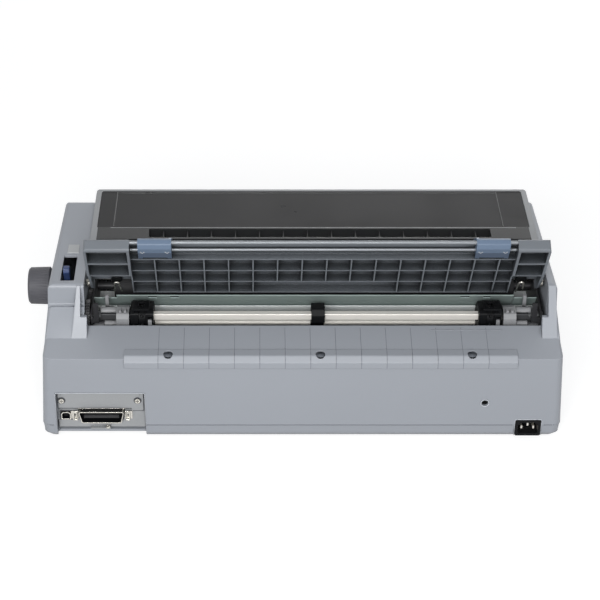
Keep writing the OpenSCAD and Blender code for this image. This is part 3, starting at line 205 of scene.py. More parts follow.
class Surface:
    """A node-based material: a colour that varies a little, grain, a bump, and
    edges that are rounded over and painted a little lighter, as rubbed wear and painted highlight.

    vary is the share by which the colour varies, patch and grain are the scales of
    its large and fine noise, and edge is the rounding's radius in millimetres."""

    BUMP_DEPTH = 0.0004
    ROUGH_VARY = 0.12
    # How much lighter the edges are painted, as rubbed wear and painted highlight
    RUBBED_AND_HIGHLIT_COLOUR = 1.9
    SAMPLES = 4
    # Sockets of a colour mix, which Blender numbers and doesn't name apart
    SHARE, FIRST, SECOND, RESULT = 0, 6, 7, 2

    def __init__(self, name, colour, rough=0.5, metal=0.0, vary=0.06, grain=900, bump=0.08,
                 patch=14, coat=0.0, stretch=(1, 1, 1), spec=0.3, edge=0.5, wear_and_highlight=0.25):
        mat = bpy.data.materials.new(name)
        mat.use_nodes = True
        self.mat = mat
        self.tree = mat.node_tree
        self.shader = self.tree.nodes["Principled BSDF"]
        self.shader.inputs["Metallic"].default_value = metal
        self.shader.inputs["Coat Weight"].default_value = coat
        self.shader.inputs["Specular IOR Level"].default_value = spec
        self.object_place = self.node("ShaderNodeTexCoord").outputs["Object"]
        scaled = self.node("ShaderNodeMapping")
        scaled.inputs["Scale"].default_value = stretch
        self.link(self.object_place, scaled.inputs["Vector"])
        self.place = scaled.outputs["Vector"]
        patches = self.noise(patch, 4)
        grains = self.noise(grain, 2)
        base = self.blend(patches, shade(colour, 1 - vary), shade(colour, 1 + vary))
        fine = self.node("ShaderNodeMix")
        fine.data_type = "RGBA"
        fine.blend_type = "MULTIPLY"
        fine.inputs[self.SHARE].default_value = min(1, vary * 2.5)
        self.link(base, fine.inputs[self.FIRST])
        self.link(self.stretch_range(grains, 0.7, 1.15), fine.inputs[self.SECOND])
        round_edge = self.node("ShaderNodeBevel")
        round_edge.samples = self.SAMPLES
        round_edge.inputs["Radius"].default_value = edge / 1000
        self.edge_normal = round_edge.outputs[0]
        # Edges painted lighter, partly as rubbed wear and partly as painted highlight
        worn_and_highlit = self.node("ShaderNodeMix")
        worn_and_highlit.data_type = "RGBA"
        self.link(self.rubbed_and_highlit(wear_and_highlight, grains), worn_and_highlit.inputs[self.SHARE])
        self.link(fine.outputs[self.RESULT], worn_and_highlit.inputs[self.FIRST])
        worn_and_highlit.inputs[self.SECOND].default_value = shade(colour, self.RUBBED_AND_HIGHLIT_COLOUR)
        self.set_colour(worn_and_highlit.outputs[self.RESULT])
        half = self.ROUGH_VARY / 2
        self.link(self.stretch_range(patches, rough - half, rough + half),
                  self.shader.inputs["Roughness"])
        rise = self.node("ShaderNodeBump")
        rise.inputs["Strength"].default_value = bump
        rise.inputs["Distance"].default_value = self.BUMP_DEPTH
        self.link(grains, rise.inputs["Height"])
        self.link(self.edge_normal, rise.inputs["Normal"])
        self.link(rise.outputs[0], self.shader.inputs["Normal"])

    def node(self, kind):
        return self.tree.nodes.new(kind)

    def link(self, a, b):
        self.tree.links.new(a, b)

    def set_colour(self, colour):
        self.colour = colour
        self.link(colour, self.shader.inputs["Base Color"])

    def noise(self, scale, detail):
        tex = self.node("ShaderNodeTexNoise")
        tex.inputs["Scale"].default_value = scale
        tex.inputs["Detail"].default_value = detail
        self.link(self.place, tex.inputs["Vector"])
        return tex.outputs["Fac"]

    def stretch_range(self, value, low, high, start=0.3, end=0.7):
        """Spreads what lies between start and end over low to high."""
        scale = self.node("ShaderNodeMapRange")
        scale.inputs["From Min"].default_value = start
        scale.inputs["From Max"].default_value = end
        scale.inputs["To Min"].default_value = low
        scale.inputs["To Max"].default_value = high
        self.link(value, scale.inputs["Value"])
        return scale.outputs[0]

    def blend(self, share, first, second):
        """A mix of two colours, where share is 0 for the first; each may be linked."""
        mix = self.node("ShaderNodeMix")
        mix.data_type = "RGBA"
        self.link(share, mix.inputs[self.SHARE])
        for socket, colour in ((self.FIRST, first), (self.SECOND, second)):
            if isinstance(colour, tuple):
                mix.inputs[socket].default_value = colour
            else:
                self.link(colour, mix.inputs[socket])
        return mix.outputs[self.RESULT]

    def math(self, operation, first, second):
        """One step of sums, of which each value may be a number or linked."""
        step = self.node("ShaderNodeMath")
        step.operation = operation
        for socket, value in enumerate((first, second)):
            if isinstance(value, (int, float)):
                step.inputs[socket].default_value = value
            else:
                self.link(value, step.inputs[socket])
        return step.outputs[0]

    def rubbed_and_highlit(self, wear_and_highlight, grains):
        """How much an edge is painted lighter, as rubbed wear and painted highlight: where the rounded
        normal leaves the face's own.
        """
        flat = self.node("ShaderNodeNewGeometry").outputs["Normal"]
        turn = self.node("ShaderNodeVectorMath")
        turn.operation = "DOT_PRODUCT"
        self.link(flat, turn.inputs[0])
        self.link(self.edge_normal, turn.inputs[1])
        amount = self.stretch_range(turn.outputs["Value"], wear_and_highlight, 0, 0.75, 0.995)
        return self.math("MULTIPLY", amount, self.stretch_range(grains, 0.5, 1.0))

    def hollow_shade(self, reach, dark, power=(0.3, 0.9)):
        """Darkens with painted shade what lies deep between other surfaces, within reach millimetres.
        """
        hollow = self.node("ShaderNodeAmbientOcclusion")
        hollow.samples = self.SAMPLES
        hollow.inputs["Distance"].default_value = reach / 1000
        share = self.stretch_range(hollow.outputs["AO"], 0, 1, *power)
        self.set_colour(self.blend(share, dark, self.colour))
        return self

    def inside(self, obj, low, high):
        """1 within a box of the case's millimetres, in the place where obj rests."""
        start = obj.matrix_world.inverted() @ at(*low)
        end = obj.matrix_world.inverted() @ at(*high)
        split = self.node("ShaderNodeSeparateXYZ")
        self.link(self.object_place, split.inputs[0])
        share = 1.0
        for axis in range(3):
            first, last = sorted((start[axis], end[axis]))
            above = self.math("GREATER_THAN", split.outputs[axis], first)
            below = self.math("LESS_THAN", split.outputs[axis], last)
            share = self.math("MULTIPLY", self.math("MULTIPLY", above, below), share)
        return share


# Noise drawn out along a turned or brushed part's length
BRUSHED = (1, 30, 30)

# Regions of a node that have another colour, as boxes of the case's millimetres
SMOKED_BOX = ((-277.5, -259, 150), (246.8, -90, 230))
BRIGHT_LINE_BOX = ((-262, -172.6, 150), (231, -171.3, 230))
# The edge guides' lower half, which is painted darker as shade
SLIDER_SHADE_BOX = ((-400, -400, 100), (400, 400, 240.3))
SHAFT_MIDDLE_BOX = ((-238, -200, 50), (200, 60, 250))


def cover_surface():
    """Cover frame: pale outer rim, smoked plastic inside it and a bright crossbar line."""
    look = Surface("cover", srgb(156, 158, 160), 0.42, vary=0.03, grain=1400, bump=0.08, edge=0.9)
    node = NODES["cover_frame"]
    smoked = look.inside(node, *SMOKED_BOX)
    colour = look.blend(smoked, look.colour, srgb(46, 47, 48))
    line = look.inside(node, *BRIGHT_LINE_BOX)
    look.set_colour(look.blend(line, colour, srgb(140, 142, 143)))
    return look


def slider_surface(side):
    """Blue edge guide, whose lower half is painted darker than its upper half, as painted shade."""
    look = Surface(f"slider_{side}", srgb(106, 123, 145), 0.36, vary=0.05, grain=1400, edge=0.8)
    low = look.inside(NODES[f"edge_guide_{side}"], *SLIDER_SHADE_BOX)
    look.set_colour(look.blend(low, look.colour, srgb(82, 95, 114)))
    return look


def drive_surface():
    """Square drive shaft: near-white where the tractors slide, the plated steel's colour with its
    reflection painted in, and dark at its bearings.
    """
    look = Surface("drive", srgb(78, 79, 81), 0.4, 0.3, 0.05, 900, 0.02,
                   stretch=BRUSHED, spec=0.2)
    bright = look.inside(NODES["drive_shaft"], *SHAFT_MIDDLE_BOX)
    # The near-white is partly painted reflection of the plated steel
    look.set_colour(look.blend(bright, look.colour, srgb(246, 242, 235)))
    return look


def make_materials():
    """All looks by name: colour, roughness, metal, variation, grain and bump come first."""
    # The darker colours given for the hollows of the case, guide, bracket, zinc and nickel are painted
    # shade
    looks = {
        "case": Surface("case", srgb(157, 161, 168), 0.42, vary=0.03, grain=1500, bump=0.12,
                        patch=5, spec=0.45, edge=1.0,
                        wear_and_highlight=0.2).hollow_shade(9, srgb(92, 95, 100), (0.2, 0.62)),
        "guide": Surface("guide", srgb(118, 123, 129), 0.42, vary=0.05, grain=1300, bump=0.1,
                         edge=0.8, wear_and_highlight=0.8).hollow_shade(34, srgb(30, 33, 36), (0.4, 0.82)),
        "slider_right": slider_surface("right"),
        "slider_left": slider_surface("left"),
        "bracket": Surface("bracket", srgb(146, 147, 149), 0.45, vary=0.05,
                           grain=1200).hollow_shade(14, srgb(52, 53, 56), (0.3, 0.85)),
        "black": Surface("black", srgb(15, 16, 18), 0.5, vary=0.15, grain=1200, bump=0.12, spec=0.12),
        "knob": Surface("knob", srgb(86, 86, 91), 0.5, vary=0.06, grain=1500, bump=0.15),
        "steel": Surface("steel", srgb(176, 178, 178), 0.36, 0.75, 0.07, 700, 0.03, stretch=BRUSHED),
        "zinc": Surface("zinc", srgb(163, 165, 167), 0.45, 0.2, 0.05, 700, 0.03,
                        edge=0.35).hollow_shade(8, srgb(74, 76, 79), (0.25, 0.7)),
        "nickel": Surface("nickel", srgb(214, 211, 203), 0.26, 0.9, 0.05, 700, 0.03,
                          edge=0.3).hollow_shade(3, srgb(60, 58, 54), (0.3, 0.75)),
        # shaft: near-white, the plated steel's colour with its reflection painted in
        "shaft": Surface("shaft", srgb(240, 236, 228), 0.35, 0.1, 0.05, 900, 0.02, stretch=BRUSHED),
        "rod": Surface("rod", srgb(132, 136, 140), 0.36, 0.4, 0.05, 900, 0.02, stretch=BRUSHED),
        "rubber": Surface("rubber", srgb(30, 30, 32), 0.7, vary=0.12, grain=1800, bump=0.2),
        "gear": Surface("gear", srgb(50, 50, 52), 0.4, vary=0.06, grain=900),
        "brass": Surface("brass", srgb(205, 176, 112), 0.3, 1.0, 0.06, 800, 0.03),
        "dark_steel": Surface("dark_steel", srgb(44, 44, 46), 0.42, 0.4, 0.08, 900, 0.04),
        "board": Surface("board", srgb(24, 92, 52), 0.35, vary=0.2, grain=260, bump=0.1),
        "motor": Surface("motor", srgb(38, 38, 40), 0.4, vary=0.1, grain=800),
        "window": Surface("window", srgb(40, 40, 41), 0.32, vary=0.03, grain=300, bump=0.01, spec=0.14),
        "cover": cover_surface(),
        "lever": Surface("lever", srgb(56, 72, 112), 0.35, vary=0.06, grain=1000),
        "plate": Surface("plate", srgb(150, 164, 161), 0.42, 0.1, 0.05, 900, 0.04),
        "pale_plate": Surface("pale_plate", srgb(226, 230, 230), 0.4, 0.2, 0.05, 900, 0.04),
        "head": Surface("head", srgb(170, 170, 172), 0.4, 1.0, 0.08, 500, 0.08),
        "belt": Surface("belt", srgb(28, 28, 29), 0.75, vary=0.1, grain=1500, bump=0.2),
        "button": Surface("button", srgb(82, 84, 88), 0.5, vary=0.05, grain=1500, bump=0.1),
        "seam": Surface("seam", srgb(126, 130, 136), 0.6, vary=0.06, grain=1200, edge=0.1),
        "parting": Surface("parting", srgb(112, 115, 121), 0.6, vary=0.06, grain=1200, edge=0.1),
        "groove": Surface("groove", srgb(84, 86, 90), 0.6, vary=0.08, grain=1200, edge=0.1),
        "window_rib": Surface("window_rib", srgb(74, 75, 76), 0.4, vary=0.04, grain=900, edge=0.1),
        # rim: light lines round the hole, the inlet and the recess, which are painted highlights
        "rim": Surface("rim", srgb(196, 200, 206), 0.4, vary=0.04, grain=1400, edge=0.1),
        "field": Surface("field", srgb(182, 184, 185), 0.5, vary=0.03, grain=1300, edge=0.4),
        "drive": drive_surface(),
        # pit: the dimples' dished bottoms, dark with painted shade
        "shaded_pit": Surface("shaded_pit", srgb(92, 96, 103), 0.6, vary=0.08, grain=1200, edge=0.2),
        "lens": Surface("lens", srgb(90, 190, 96), 0.15, vary=0.05, grain=500, coat=0.6, edge=0.2),
    }
    return {name: look.mat for name, look in looks.items()}


# The finished materials by the names of their looks, filled in by main
MATERIALS = {}

# Nodes that don't take the look of their own slot
OWN_LOOK = {
    "interface_plate": "zinc", "slot_cover": "zinc", "interface_screws": "nickel",
    "parallel_port": "nickel", "parallel_clip_right": "nickel", "parallel_clip_left": "nickel",
    "edge_guide_right": "slider_right", "edge_guide_left": "slider_left",
    "usb_port": "nickel", "drive_shaft": "drive", "guide_rods": "rod",
    "lower_paper_plate": "pale_plate",
}

# Parts of a node that have another look, as boxes of the case's millimetres
PAINTED = [
    ("parallel_port", "black", (206, -31, 17), (270, -14.5, 40)),
    ("parallel_port", "black", (211.9, -31, 21.1), (264.1, -5.1, 35.4)),
    ("parallel_port", "gear", (217, -14.1, 25.9), (259, -6.9, 30.6)),
    ("parallel_port", "black", (213, -16, 36.3), (263, -5.2, 36.7)),
    ("usb_port", "black", (275.5, -31, 23.4), (285.2, -9.6, 32.1)),
    ("power_inlet", "nickel", (-281, -19.2, 12), (-256, -2.9, 24)),
]

# Radius of the broken edges, in millimetres, where it isn't the usual one
EDGE_MM = {
    "upper_case": 0.9, "lower_case": 0.8, "cover_frame": 0.7, "paper_guide": 0.3,
    "cover_window": 0.5, "edge_guide_right": 0.5, "edge_guide_left": 0.5, "platen_knob": 0.5,
    "interface_plate": 0.15, "slot_cover": 0.25, "parallel_port": 0.2, "usb_port": 0.2,
    "power_inlet": 0.4, "interface_screws": 0.1, "parallel_clip_right": 0.15,
    "parallel_clip_left": 0.15, "motor_pinion": 0.1, "platen_gear": 0.15, "drive_gear": 0.15,
    "motor_idler": 0.15, "tractor_idler": 0.15,
}
USUAL_EDGE_MM = 0.35


def dress_nodes():
    """Gives each CAD node its material, smooth shading and slightly broken edges."""
    slots = {part["node"]: part["material_slot"] for part in frame["record"]["subparts"]}
    for name, obj in NODES.items():
        obj.data.materials.clear()
        obj.data.materials.append(MATERIALS[OWN_LOOK.get(name, slots[name])])
        soften_edges(obj, EDGE_MM.get(name, USUAL_EDGE_MM))
    for name, look, low, high in PAINTED:
        paint(NODES[name], MATERIALS[look], at(*low), at(*high))


def paint(obj, material, low, high):
    """Gives the faces whose middles lie in a box another material."""
    obj.data.materials.append(material)
    index = len(obj.data.materials) - 1
    for face in obj.data.polygons:
        middle = obj.matrix_world @ face.center
        if all(low[i] <= middle[i] <= high[i] for i in range(3)):
            face.material_index = index


# Points closer than this are one, in metres, and faces that turn less are one face
WELD_GAP = 0.000005
FLAT_DEGREES = 0.4
# Edges that turn more than this are broken
SHARP_DEGREES = 28


def soften_edges(obj, width_mm):
    """Joins the flat faces of the CAD mesh, then breaks its sharp edges."""
    weld = obj.modifiers.new("weld", "WELD")
    weld.merge_threshold = WELD_GAP
    flat = obj.modifiers.new("flat", "DECIMATE")
    flat.decimate_type = "DISSOLVE"
    flat.angle_limit = math.radians(FLAT_DEGREES)
    flat.delimit = {"MATERIAL"}
    bevel = obj.modifiers.new("bevel", "BEVEL")
    bevel.width = width_mm / 1000
    bevel.segments = 2
    bevel.limit_method = "ANGLE"
    bevel.angle_limit = math.radians(SHARP_DEGREES)
    for face in obj.data.polygons:
        face.use_smooth = True
    even = obj.modifiers.new("even", "WEIGHTED_NORMAL")
    even.keep_sharp = True


# ---------------------------------------------------------------- pieces


def add_piece(name, body, look, verts, faces, smooth=True):
    """Makes one piece of the scene, which rides on a body of the frame."""
    mesh = bpy.data.meshes.new(name)
    mesh.from_pydata([tuple(v) for v in verts], [], faces)
    mesh.validate()
    piece = bpy.data.objects.new(name, mesh)
    bpy.context.scene.collection.objects.link(piece)
    work = bmesh.new()
    work.from_mesh(mesh)
    bmesh.ops.recalc_face_normals(work, faces=work.faces)
    work.to_mesh(mesh)
    work.free()
    for face in mesh.polygons:
        face.use_smooth = smooth
    mesh.materials.append(MATERIALS[look])
    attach(piece, body)


def sweep(path, r, sides=10, closed=False):
    """A round wire of radius r (in metres) along a row of points."""
    verts, faces = [], []
    count = len(path)
    side = None
    for i, p in enumerate(path):
        before = path[i - 1] if i or closed else p
        after = path[(i + 1) % count] if i < count - 1 or closed else p
        along = (after - before).normalized()
        if side is None:
            side = along.orthogonal().normalized()
        side = (side - along * side.dot(along)).normalized()
        other = along.cross(side)
        for k in range(sides):
            a = 2 * math.pi * k / sides
            verts.append(p + r * (math.cos(a) * side + math.sin(a) * other))
    rings = count if closed else count - 1
    for i in range(rings):
        j = (i + 1) % count
        for k in range(sides):
            n = (k + 1) % sides
            faces.append((i * sides + k, i * sides + n, j * sides + n, j * sides + k))
    if not closed:
        faces.append(tuple(range(sides)))
        faces.append(tuple((count - 1) * sides + k for k in range(sides)))
    return verts, faces


def lathe(centre, axis, profile, steps=32):
    """A turned form: profile is a row of (radius, height along the axis), in metres."""
    axis = axis.normalized()
    side = axis.orthogonal().normalized()
    other = axis.cross(side)
    verts, faces = [], []
    for r, h in profile:
        for k in range(steps):
            a = 2 * math.pi * k / steps
            verts.append(centre + axis * h + r * (math.cos(a) * side + math.sin(a) * other))
    for i in range(len(profile) - 1):
        for k in range(steps):
            n = (k + 1) % steps
            faces.append((i * steps + k, i * steps + n, (i + 1) * steps + n, (i + 1) * steps + k))
    faces.append(tuple(range(steps)))
    faces.append(tuple((len(profile) - 1) * steps + k for k in range(steps)))
    return verts, faces


def ring(centre, axis, profile, steps=32):
    """A turned ring, whose profile closes on itself."""
    verts, faces = lathe(centre, axis, profile, steps)
    faces = faces[:-2]
    last = (len(profile) - 1) * steps
    for k in range(steps):
        n = (k + 1) % steps
        faces.append((last + k, last + n, n, k))
    return verts, faces


# How deep a pad's foot goes into its face, in metres
PAD_SUNK = 0.0002


def pad(corners, normal, thick, inset):
    """A low raised field on a face, whose edges slope; corners run round it."""
    middle = sum(corners, Vector()) / len(corners)
    top = [c + (middle - c).normalized() * inset + normal * thick for c in corners]
    sunk = [c - normal * PAD_SUNK for c in corners]
    n = len(corners)
    verts = sunk + list(corners) + top
    faces = []
    for row in (0, n):
        for k in range(n):
            m = (k + 1) % n
            faces.append((row + k, row + m, row + n + m, row + n + k))
    faces.append(tuple(2 * n + k for k in range(n)))
    faces.append(tuple(range(n)))
    return verts, faces


def surface_tree(name):
    """A CAD node's faces where they rest, for rays to hit."""
    obj = NODES[name]
    verts = [obj.matrix_world @ v.co for v in obj.data.vertices]
    return BVHTree.FromPolygons(verts, [tuple(p.vertices) for p in obj.data.polygons])


# A ray that meets something this far from the last hit has missed its face
FACE_GAP = 0.01
# How deep a ribbon's underside lies in its face, in metres
RIBBON_SUNK = 0.00015


def draped(tree, rays, across, lift):
    """A ribbon laid on a face along the points that the rays hit; across is half its width."""
    hits = []
    for start, direction in rays:
        place, normal, _, _ = tree.ray_cast(start, direction)
        if place is not None and not (hits and (place - hits[-1][0]).length > FACE_GAP):
            hits.append((place, normal))
    verts, faces = [], []
    for place, normal in hits:
        high = place + normal * lift
        low = place - normal * RIBBON_SUNK
        verts += [high - across, high + across, low + across, low - across]
    for i in range(len(hits) - 1):
        for k in range(4):
            n = (k + 1) % 4
            faces.append((4 * i + k, 4 * i + n, 4 * i + 4 + n, 4 * i + 4 + k))
    last = 4 * (len(hits) - 1)
    faces.append((0, 1, 2, 3))
    faces.append((last, last + 1, last + 2, last + 3))
    return verts, faces


def between(first, last, steps):
    """Evenly spaced values from first to last."""
    return [first + (last - first) * k / steps for k in range(steps + 1)]


# Profiles of turned pieces, as rows of (radius, height along the axis) in metres
DIMPLE_PROFILE = [(0.00535, 0.0026), (0.0048, 0.0012), (0.003, 0.0005), (0.0008, 0.0002),
                  (0.0008, 0.0001), (0.00535, 0.0001)]
HOLE_RIM_PROFILE = [(0.0041, -0.0001), (0.0054, -0.0001), (0.0053, 0.0002), (0.0042, 0.0002)]
WASHER_PROFILE = [(0.0034, -0.0002), (0.0047, -0.0002), (0.0047, 0.0002), (0.0041, 0.0007),
                  (0.0034, 0.0005)]
SCREW_PROFILE = [(0.0017, -0.0003), (0.0017, 0.0004), (0.0013, 0.0009), (0.0003, 0.0011)]
EYE_PROFILE = [(0.0062, 0.0), (0.0066, 0.0006), (0.0066, 0.0016), (0.0058, 0.0022),
               (0.0035, 0.0022)]
LENS_PROFILE = [(0.0019, -0.0003), (0.0019, 0.0003), (0.0015, 0.0008), (0.0008, 0.0011),
                (0.0002, 0.0012)]

# Seams: how many, the first one's place and their pitch, then the stretch on the deck
# and the one down the lip's rear face, each with its count of steps
SEAM_COUNT = 14
SEAM_X = 168
SEAM_PITCH = 29.5
SEAM_Y = (-47, 0.5, 95)
SEAM_Z = (120, 104.25, 63)
# Half widths of the ribbons, in metres
SEAM_HALF = Vector((0.0003, 0, 0))
PARTING_HALF = Vector((0, 0, 0.00045))
DECK_LINE_HALF = Vector((0.042, 0, 0))
# How far they stand out of the face, in metres
SEAM_LIFT = 0.00002
PARTING_LIFT = 0.00008
DECK_LINE_LIFT = 0.0005
# Parting line of the two case halves: its height, its stretches, and a ray each 4 mm
PARTING_Z = 21.4
PARTING_X = ((184, -250), (-287, -311), (309, 294))
PARTING_STEP = 4
# The low moulded line near the opening
DECK_LINE_X = -192
DECK_LINE_Y = (-44, -42.75, 5)


def deck_seams(tree):
    """Seams across the deck and down its lip, and the parting line below them."""
    for i in range(SEAM_COUNT):
        x = SEAM_X - SEAM_PITCH * i
        rays = [(at(x, y, OVER_DECK), DOWN) for y in between(*SEAM_Y)]
        rays += [(at(x, BEHIND, z), AHEAD) for z in between(*SEAM_Z)]
        verts, faces = draped(tree, rays, SEAM_HALF, SEAM_LIFT)
        add_piece(f"deck_seam_{i}", "printer_body", "seam", verts, faces)
    for i, (x0, x1) in enumerate(PARTING_X):
        steps = max(4, abs(x1 - x0) // PARTING_STEP)
        rays = [(at(x, BEHIND, PARTING_Z), AHEAD) for x in between(x0, x1, steps)]
        verts, faces = draped(tree, rays, PARTING_HALF, PARTING_LIFT)
        add_piece(f"parting_line_{i}", "printer_body", "parting", verts, faces)


# Dimples in the lip: their places across, and how far ahead of the rear face
DIMPLE_X = (156.5, -20.3, -196.4)
DIMPLE_Y = -6.4
# The screw hole in the rear face
HOLE_XZ = (-215, 53.3)
# Openings whose edges get light rims as painted highlights: name, left, right, bottom and top
HIGHLIGHT_RIMMED = [("inlet", -284.3, -252.7, 6.6, 29.3), ("recess", 185, 290.6, 24, 67.8)]
RIM_WIRE = 0.00045
# The rims' upper corners: their reach, and how far the middle of the round is cut off
RIM_CORNER = 2
RIM_CUT = 0.6


def case_openings(tree):
    """Dished bottoms of the dimples, dark with painted shade, and light rims of the hole, the inlet and
    the recess, which are painted highlights.
    """
    for i, x in enumerate(DIMPLE_X):
        hit = tree.ray_cast(at(x, DIMPLE_Y, OVER_DECK), DOWN)[0]
        verts, faces = lathe(hit, -DOWN, DIMPLE_PROFILE)
        # The dish's dark colour paints the shade inside the dimple
        add_piece(f"dimple_{i}", "printer_body", "shaded_pit", verts, faces)
    verts, faces = ring(at(HOLE_XZ[0], 0, HOLE_XZ[1]), -AHEAD, HOLE_RIM_PROFILE)
    add_piece("hole_highlight_rim", "printer_body", "rim", verts, faces)
    for name, x0, x1, z0, z1 in HIGHLIGHT_RIMMED:
        outline = [(x0, z0), (x0, z1 - RIM_CORNER), (x0 + RIM_CUT, z1 - RIM_CUT),
                   (x0 + RIM_CORNER, z1), (x1 - RIM_CORNER, z1), (x1 - RIM_CUT, z1 - RIM_CUT),
                   (x1, z1 - RIM_CORNER), (x1, z0)]
        verts, faces = sweep([at(x, 0, z) for x, z in outline], RIM_WIRE, 8)
        add_piece(f"{name}_rim", "printer_body", "rim", verts, faces)


# The bare field on the tower: its left, right, rear and front sides
FIELD_X = (267, 281)
FIELD_Y = (-150, -131)
FIELD_THICK = 0.0006
FIELD_SLOPE = 0.0008


def case_marks(tree):
    """Low moulded line near the opening, and a bare square field on the tower."""
    rays = [(at(DECK_LINE_X, y, OVER_DECK), DOWN) for y in between(*DECK_LINE_Y)]
    verts, faces = draped(tree, rays, DECK_LINE_HALF, DECK_LINE_LIFT)
    add_piece("deck_line", "printer_body", "case", verts, faces, smooth=False)
    (left, right), (front, rear) = FIELD_X, FIELD_Y
    corners = []
    for x, y in ((left, front), (right, front), (right, rear), (left, rear)):
        hit, normal = tree.ray_cast(at(x, y, OVER_TOP), DOWN)[:2]
        corners.append(hit)
    verts, faces = pad(corners, normal, FIELD_THICK, FIELD_SLOPE)
    add_piece("tower_field", "printer_body", "field", verts, faces, smooth=False)


# Interface plate: outlines as rows of (x, z), each with its own y and its wire's radius
# in metres
GROOVE_Y = -10.7
GROOVE_WIRE = 0.00035
GROOVE_OUTLINE = [(202.6, 34.6), (187.6, 34.6), (187.6, 65.9), (289.4, 65.9), (289.4, 38.1),
                  (202.6, 38.1)]
COMPUTER_SEAT_Y = -11.4
COMPUTER_SEAT_WIRE = 0.0005
COMPUTER_SEAT_OUTLINE = [(273.4, 21.2), (273.4, 34.3), (287.3, 34.3), (287.3, 21.2)]
PARALLEL_SEAT_Y = -11.2
PARALLEL_SEAT_WIRE = 0.0007
PARALLEL_SEAT_Z = 37.4
PARALLEL_SEAT_X = (209, 212, 264, 267)
WASHER_Y = -10.8
WASHER_Z = 49.5
WASHER_X = (194.6, 284.7)


def interface_pieces():
    """Groove round the slot cover, washers of its screws, and seats of the two sockets."""
    outline = [at(x, GROOVE_Y, z) for x, z in GROOVE_OUTLINE]
    verts, faces = sweep(outline, GROOVE_WIRE, 6, closed=True)
    add_piece("slot_cover_groove", "printer_body", "groove", verts, faces)
    for i, x in enumerate(WASHER_X):
        verts, faces = ring(at(x, WASHER_Y, WASHER_Z), -AHEAD, WASHER_PROFILE)
        add_piece(f"screw_washer_{i}", "printer_body", "groove", verts, faces)
    outline = [at(x, COMPUTER_SEAT_Y, z) for x, z in COMPUTER_SEAT_OUTLINE]
    verts, faces = sweep(outline, COMPUTER_SEAT_WIRE, 6, closed=True)
    add_piece("computer_seat", "printer_body", "groove", verts, faces)
    outline = [at(x, PARALLEL_SEAT_Y, PARALLEL_SEAT_Z) for x in PARALLEL_SEAT_X]
    verts, faces = sweep(outline, PARALLEL_SEAT_WIRE, 8)
    add_piece("parallel_seat", "printer_body", "nickel", verts, faces)


# Ribs moulded in the window: two along its sides and one across its front
RIB_X = (228, -247)
RIB_Y = (-257, -175, 82)
CROSS_RIB_Y = -254.5
CROSS_RIB_STEPS = 60
RIB_HALF = 0.0005
RIB_LIFT = 0.0002


def cover_pieces():
    tree = surface_tree("cover_window")
    for i, x in enumerate(RIB_X):
        rays = [(at(x, y, OVER_TOP), DOWN) for y in between(*RIB_Y)]
        verts, faces = draped(tree, rays, Vector((RIB_HALF, 0, 0)), RIB_LIFT)
        add_piece(f"window_rib_{i}", "cover", "window_rib", verts, faces)
    across = between(*RIB_X, CROSS_RIB_STEPS)
    rays = [(at(x, CROSS_RIB_Y, OVER_TOP), DOWN) for x in across]
    verts, faces = draped(tree, rays, Vector((0, RIB_HALF, 0)), RIB_LIFT)
    add_piece("window_rib_2", "cover", "window_rib", verts, faces)


# Screws of the tractors: where each tractor stands, then the screws' places on it
TRACTOR_X = {"right": 162.0, "left": -249.0}
SCREWS_XZ = ((4, 141), (13, 134), (21, 144))


def tractor_pieces():
    """Screw heads on the tractors' rear faces."""
    for side, x0 in TRACTOR_X.items():
        tree = surface_tree(f"tractor_{side}")
        for i, (x, z) in enumerate(SCREWS_XZ):
            hit = tree.ray_cast(at(x0 + x, BEHIND, z), AHEAD)[0]
            if hit is not None:
                verts, faces = lathe(hit, -AHEAD, SCREW_PROFILE, 20)
                add_piece(f"tractor_screw_{side}_{i}", f"tractor_{side}", "nickel", verts, faces)


# Edge guides: where each stands, the two marks' places on it, and a mark's shape as
# rows of (x, a) on the raised paper guide
EDGE_GUIDE_X = {"right": 150.4, "left": -233.2}
MARKS_X = {"a": 5, "b": 33}
MARK_SHAPE = ((-2.4, 97.6), (0, 94.2), (2.4, 97.6))
MARK_WIRE = 0.0005
# Where rays at the guide's underside start
UNDER_GUIDE = 40


def edge_guide_marks():
    """Raised marks at the lower corners of the edge guides."""
    inward = on_guide(0, 0, 0) - on_guide(0, 1, 0)
    for side, x0 in EDGE_GUIDE_X.items():
        tree = surface_tree(f"edge_guide_{side}")
        for end, x in MARKS_X.items():
            path = []
            for dx, a in MARK_SHAPE:
                hit = tree.ray_cast(on_guide(x0 + x + dx, UNDER_GUIDE, a), inward)[0]
                if hit is not None:
                    path.append(hit)
            if len(path) == len(MARK_SHAPE):
                verts, faces = sweep(path, MARK_WIRE, 6)
                add_piece(f"edge_mark_{side}_{end}", f"edge_guide_{side}", "field", verts, faces)


# Torsion springs round the paper guide's pivots: from and to where, and their winding
SPRING_X = {"right": (249.9, 255.1), "left": (-279.9, -285.5)}
SPRING_RADIUS = 4.3
SPRING_WIRE = 0.00045
SPRING_TURNS = 5
SPRING_STEPS = 20
# Bent wires beside the guide's panel. Their places on the guide are (x, b, a), with x
# from the wire's own x, or (b, a). The bend is half an ellipse of this half width and
# height
WIRE_X = {"right": 218, "left": -257}
WIRE_RADIUS = 0.0011
WIRE_FOOT = (3.6, 8, -6)
WIRE_BEND = (10, 17)
WIRE_BEND_SIZE = (2.8, 4)
WIRE_TAIL = ((-3.2, 9.5, 8), (-4.6, 8, -4))
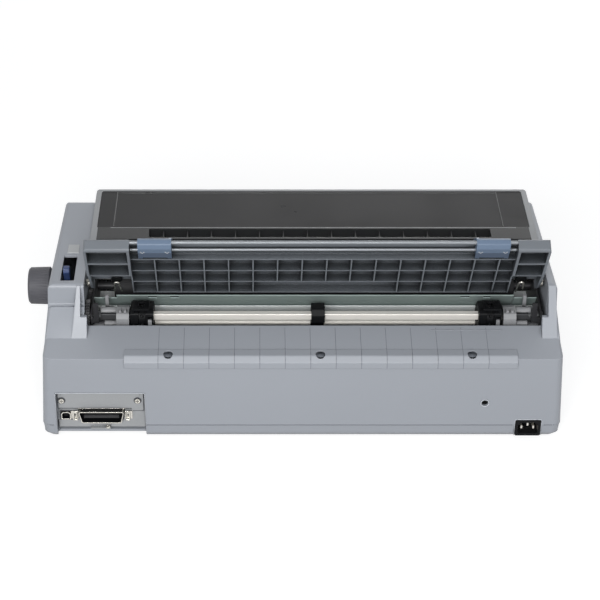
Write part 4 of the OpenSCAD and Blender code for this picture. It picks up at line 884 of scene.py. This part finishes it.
# The dark eye that each wire stands in
EYE = (3.4, 18)


def guide_springs():
    """Torsion springs that a loop winds round the pivots."""
    count = SPRING_TURNS * SPRING_STEPS
    for side, ends in SPRING_X.items():
        path = []
        for i, x in enumerate(between(*ends, count)):
            a = 2 * math.pi * i / SPRING_STEPS
            path.append(on_guide(x, SPRING_RADIUS * math.sin(a), SPRING_RADIUS * math.cos(a)))
        verts, faces = sweep(path, SPRING_WIRE, 8)
        add_piece(f"pivot_spring_{side}", "paper_guide", "nickel", verts, faces)


def guide_wires():
    """Bent wires and the eyes that they stand in."""
    underside = on_guide(0, 1, 0) - on_guide(0, 0, 0)
    for side, x in WIRE_X.items():
        route = [WIRE_FOOT]
        for turn in between(0, math.pi, 12):
            route.append((WIRE_BEND_SIZE[0] * math.cos(turn), WIRE_BEND[0],
                          WIRE_BEND[1] + WIRE_BEND_SIZE[1] * math.sin(turn)))
        route += WIRE_TAIL
        verts, faces = sweep([on_guide(x + dx, b, a) for dx, b, a in route], WIRE_RADIUS)
        add_piece(f"guide_wire_{side}", "paper_guide", "nickel", verts, faces)
        verts, faces = lathe(on_guide(x, *EYE), underside, EYE_PROFILE)
        add_piece(f"guide_eye_{side}", "paper_guide", "black", verts, faces)


# Indicator lenses beside the buttons on the sloping front
LENS_X = 293.5
LENS_Y = (-270.7, -282.2, -293.7)


def indicators(tree):
    for i, y in enumerate(LENS_Y):
        hit, normal = tree.ray_cast(at(LENS_X, y, OVER_TOP), DOWN)[:2]
        if hit is not None:
            verts, faces = lathe(hit, normal, LENS_PROFILE, 24)
            add_piece(f"indicator_{i}", "printer_body", "lens", verts, faces)


# ---------------------------------------------------------------- the scene


def main():
    make_camera()
    make_lights()
    make_world()
    make_floor()
    MATERIALS.update(make_materials())
    dress_nodes()
    case = surface_tree("upper_case")
    deck_seams(case)
    case_openings(case)
    case_marks(case)
    interface_pieces()
    cover_pieces()
    tractor_pieces()
    edge_guide_marks()
    guide_springs()
    guide_wires()
    indicators(case)


main()
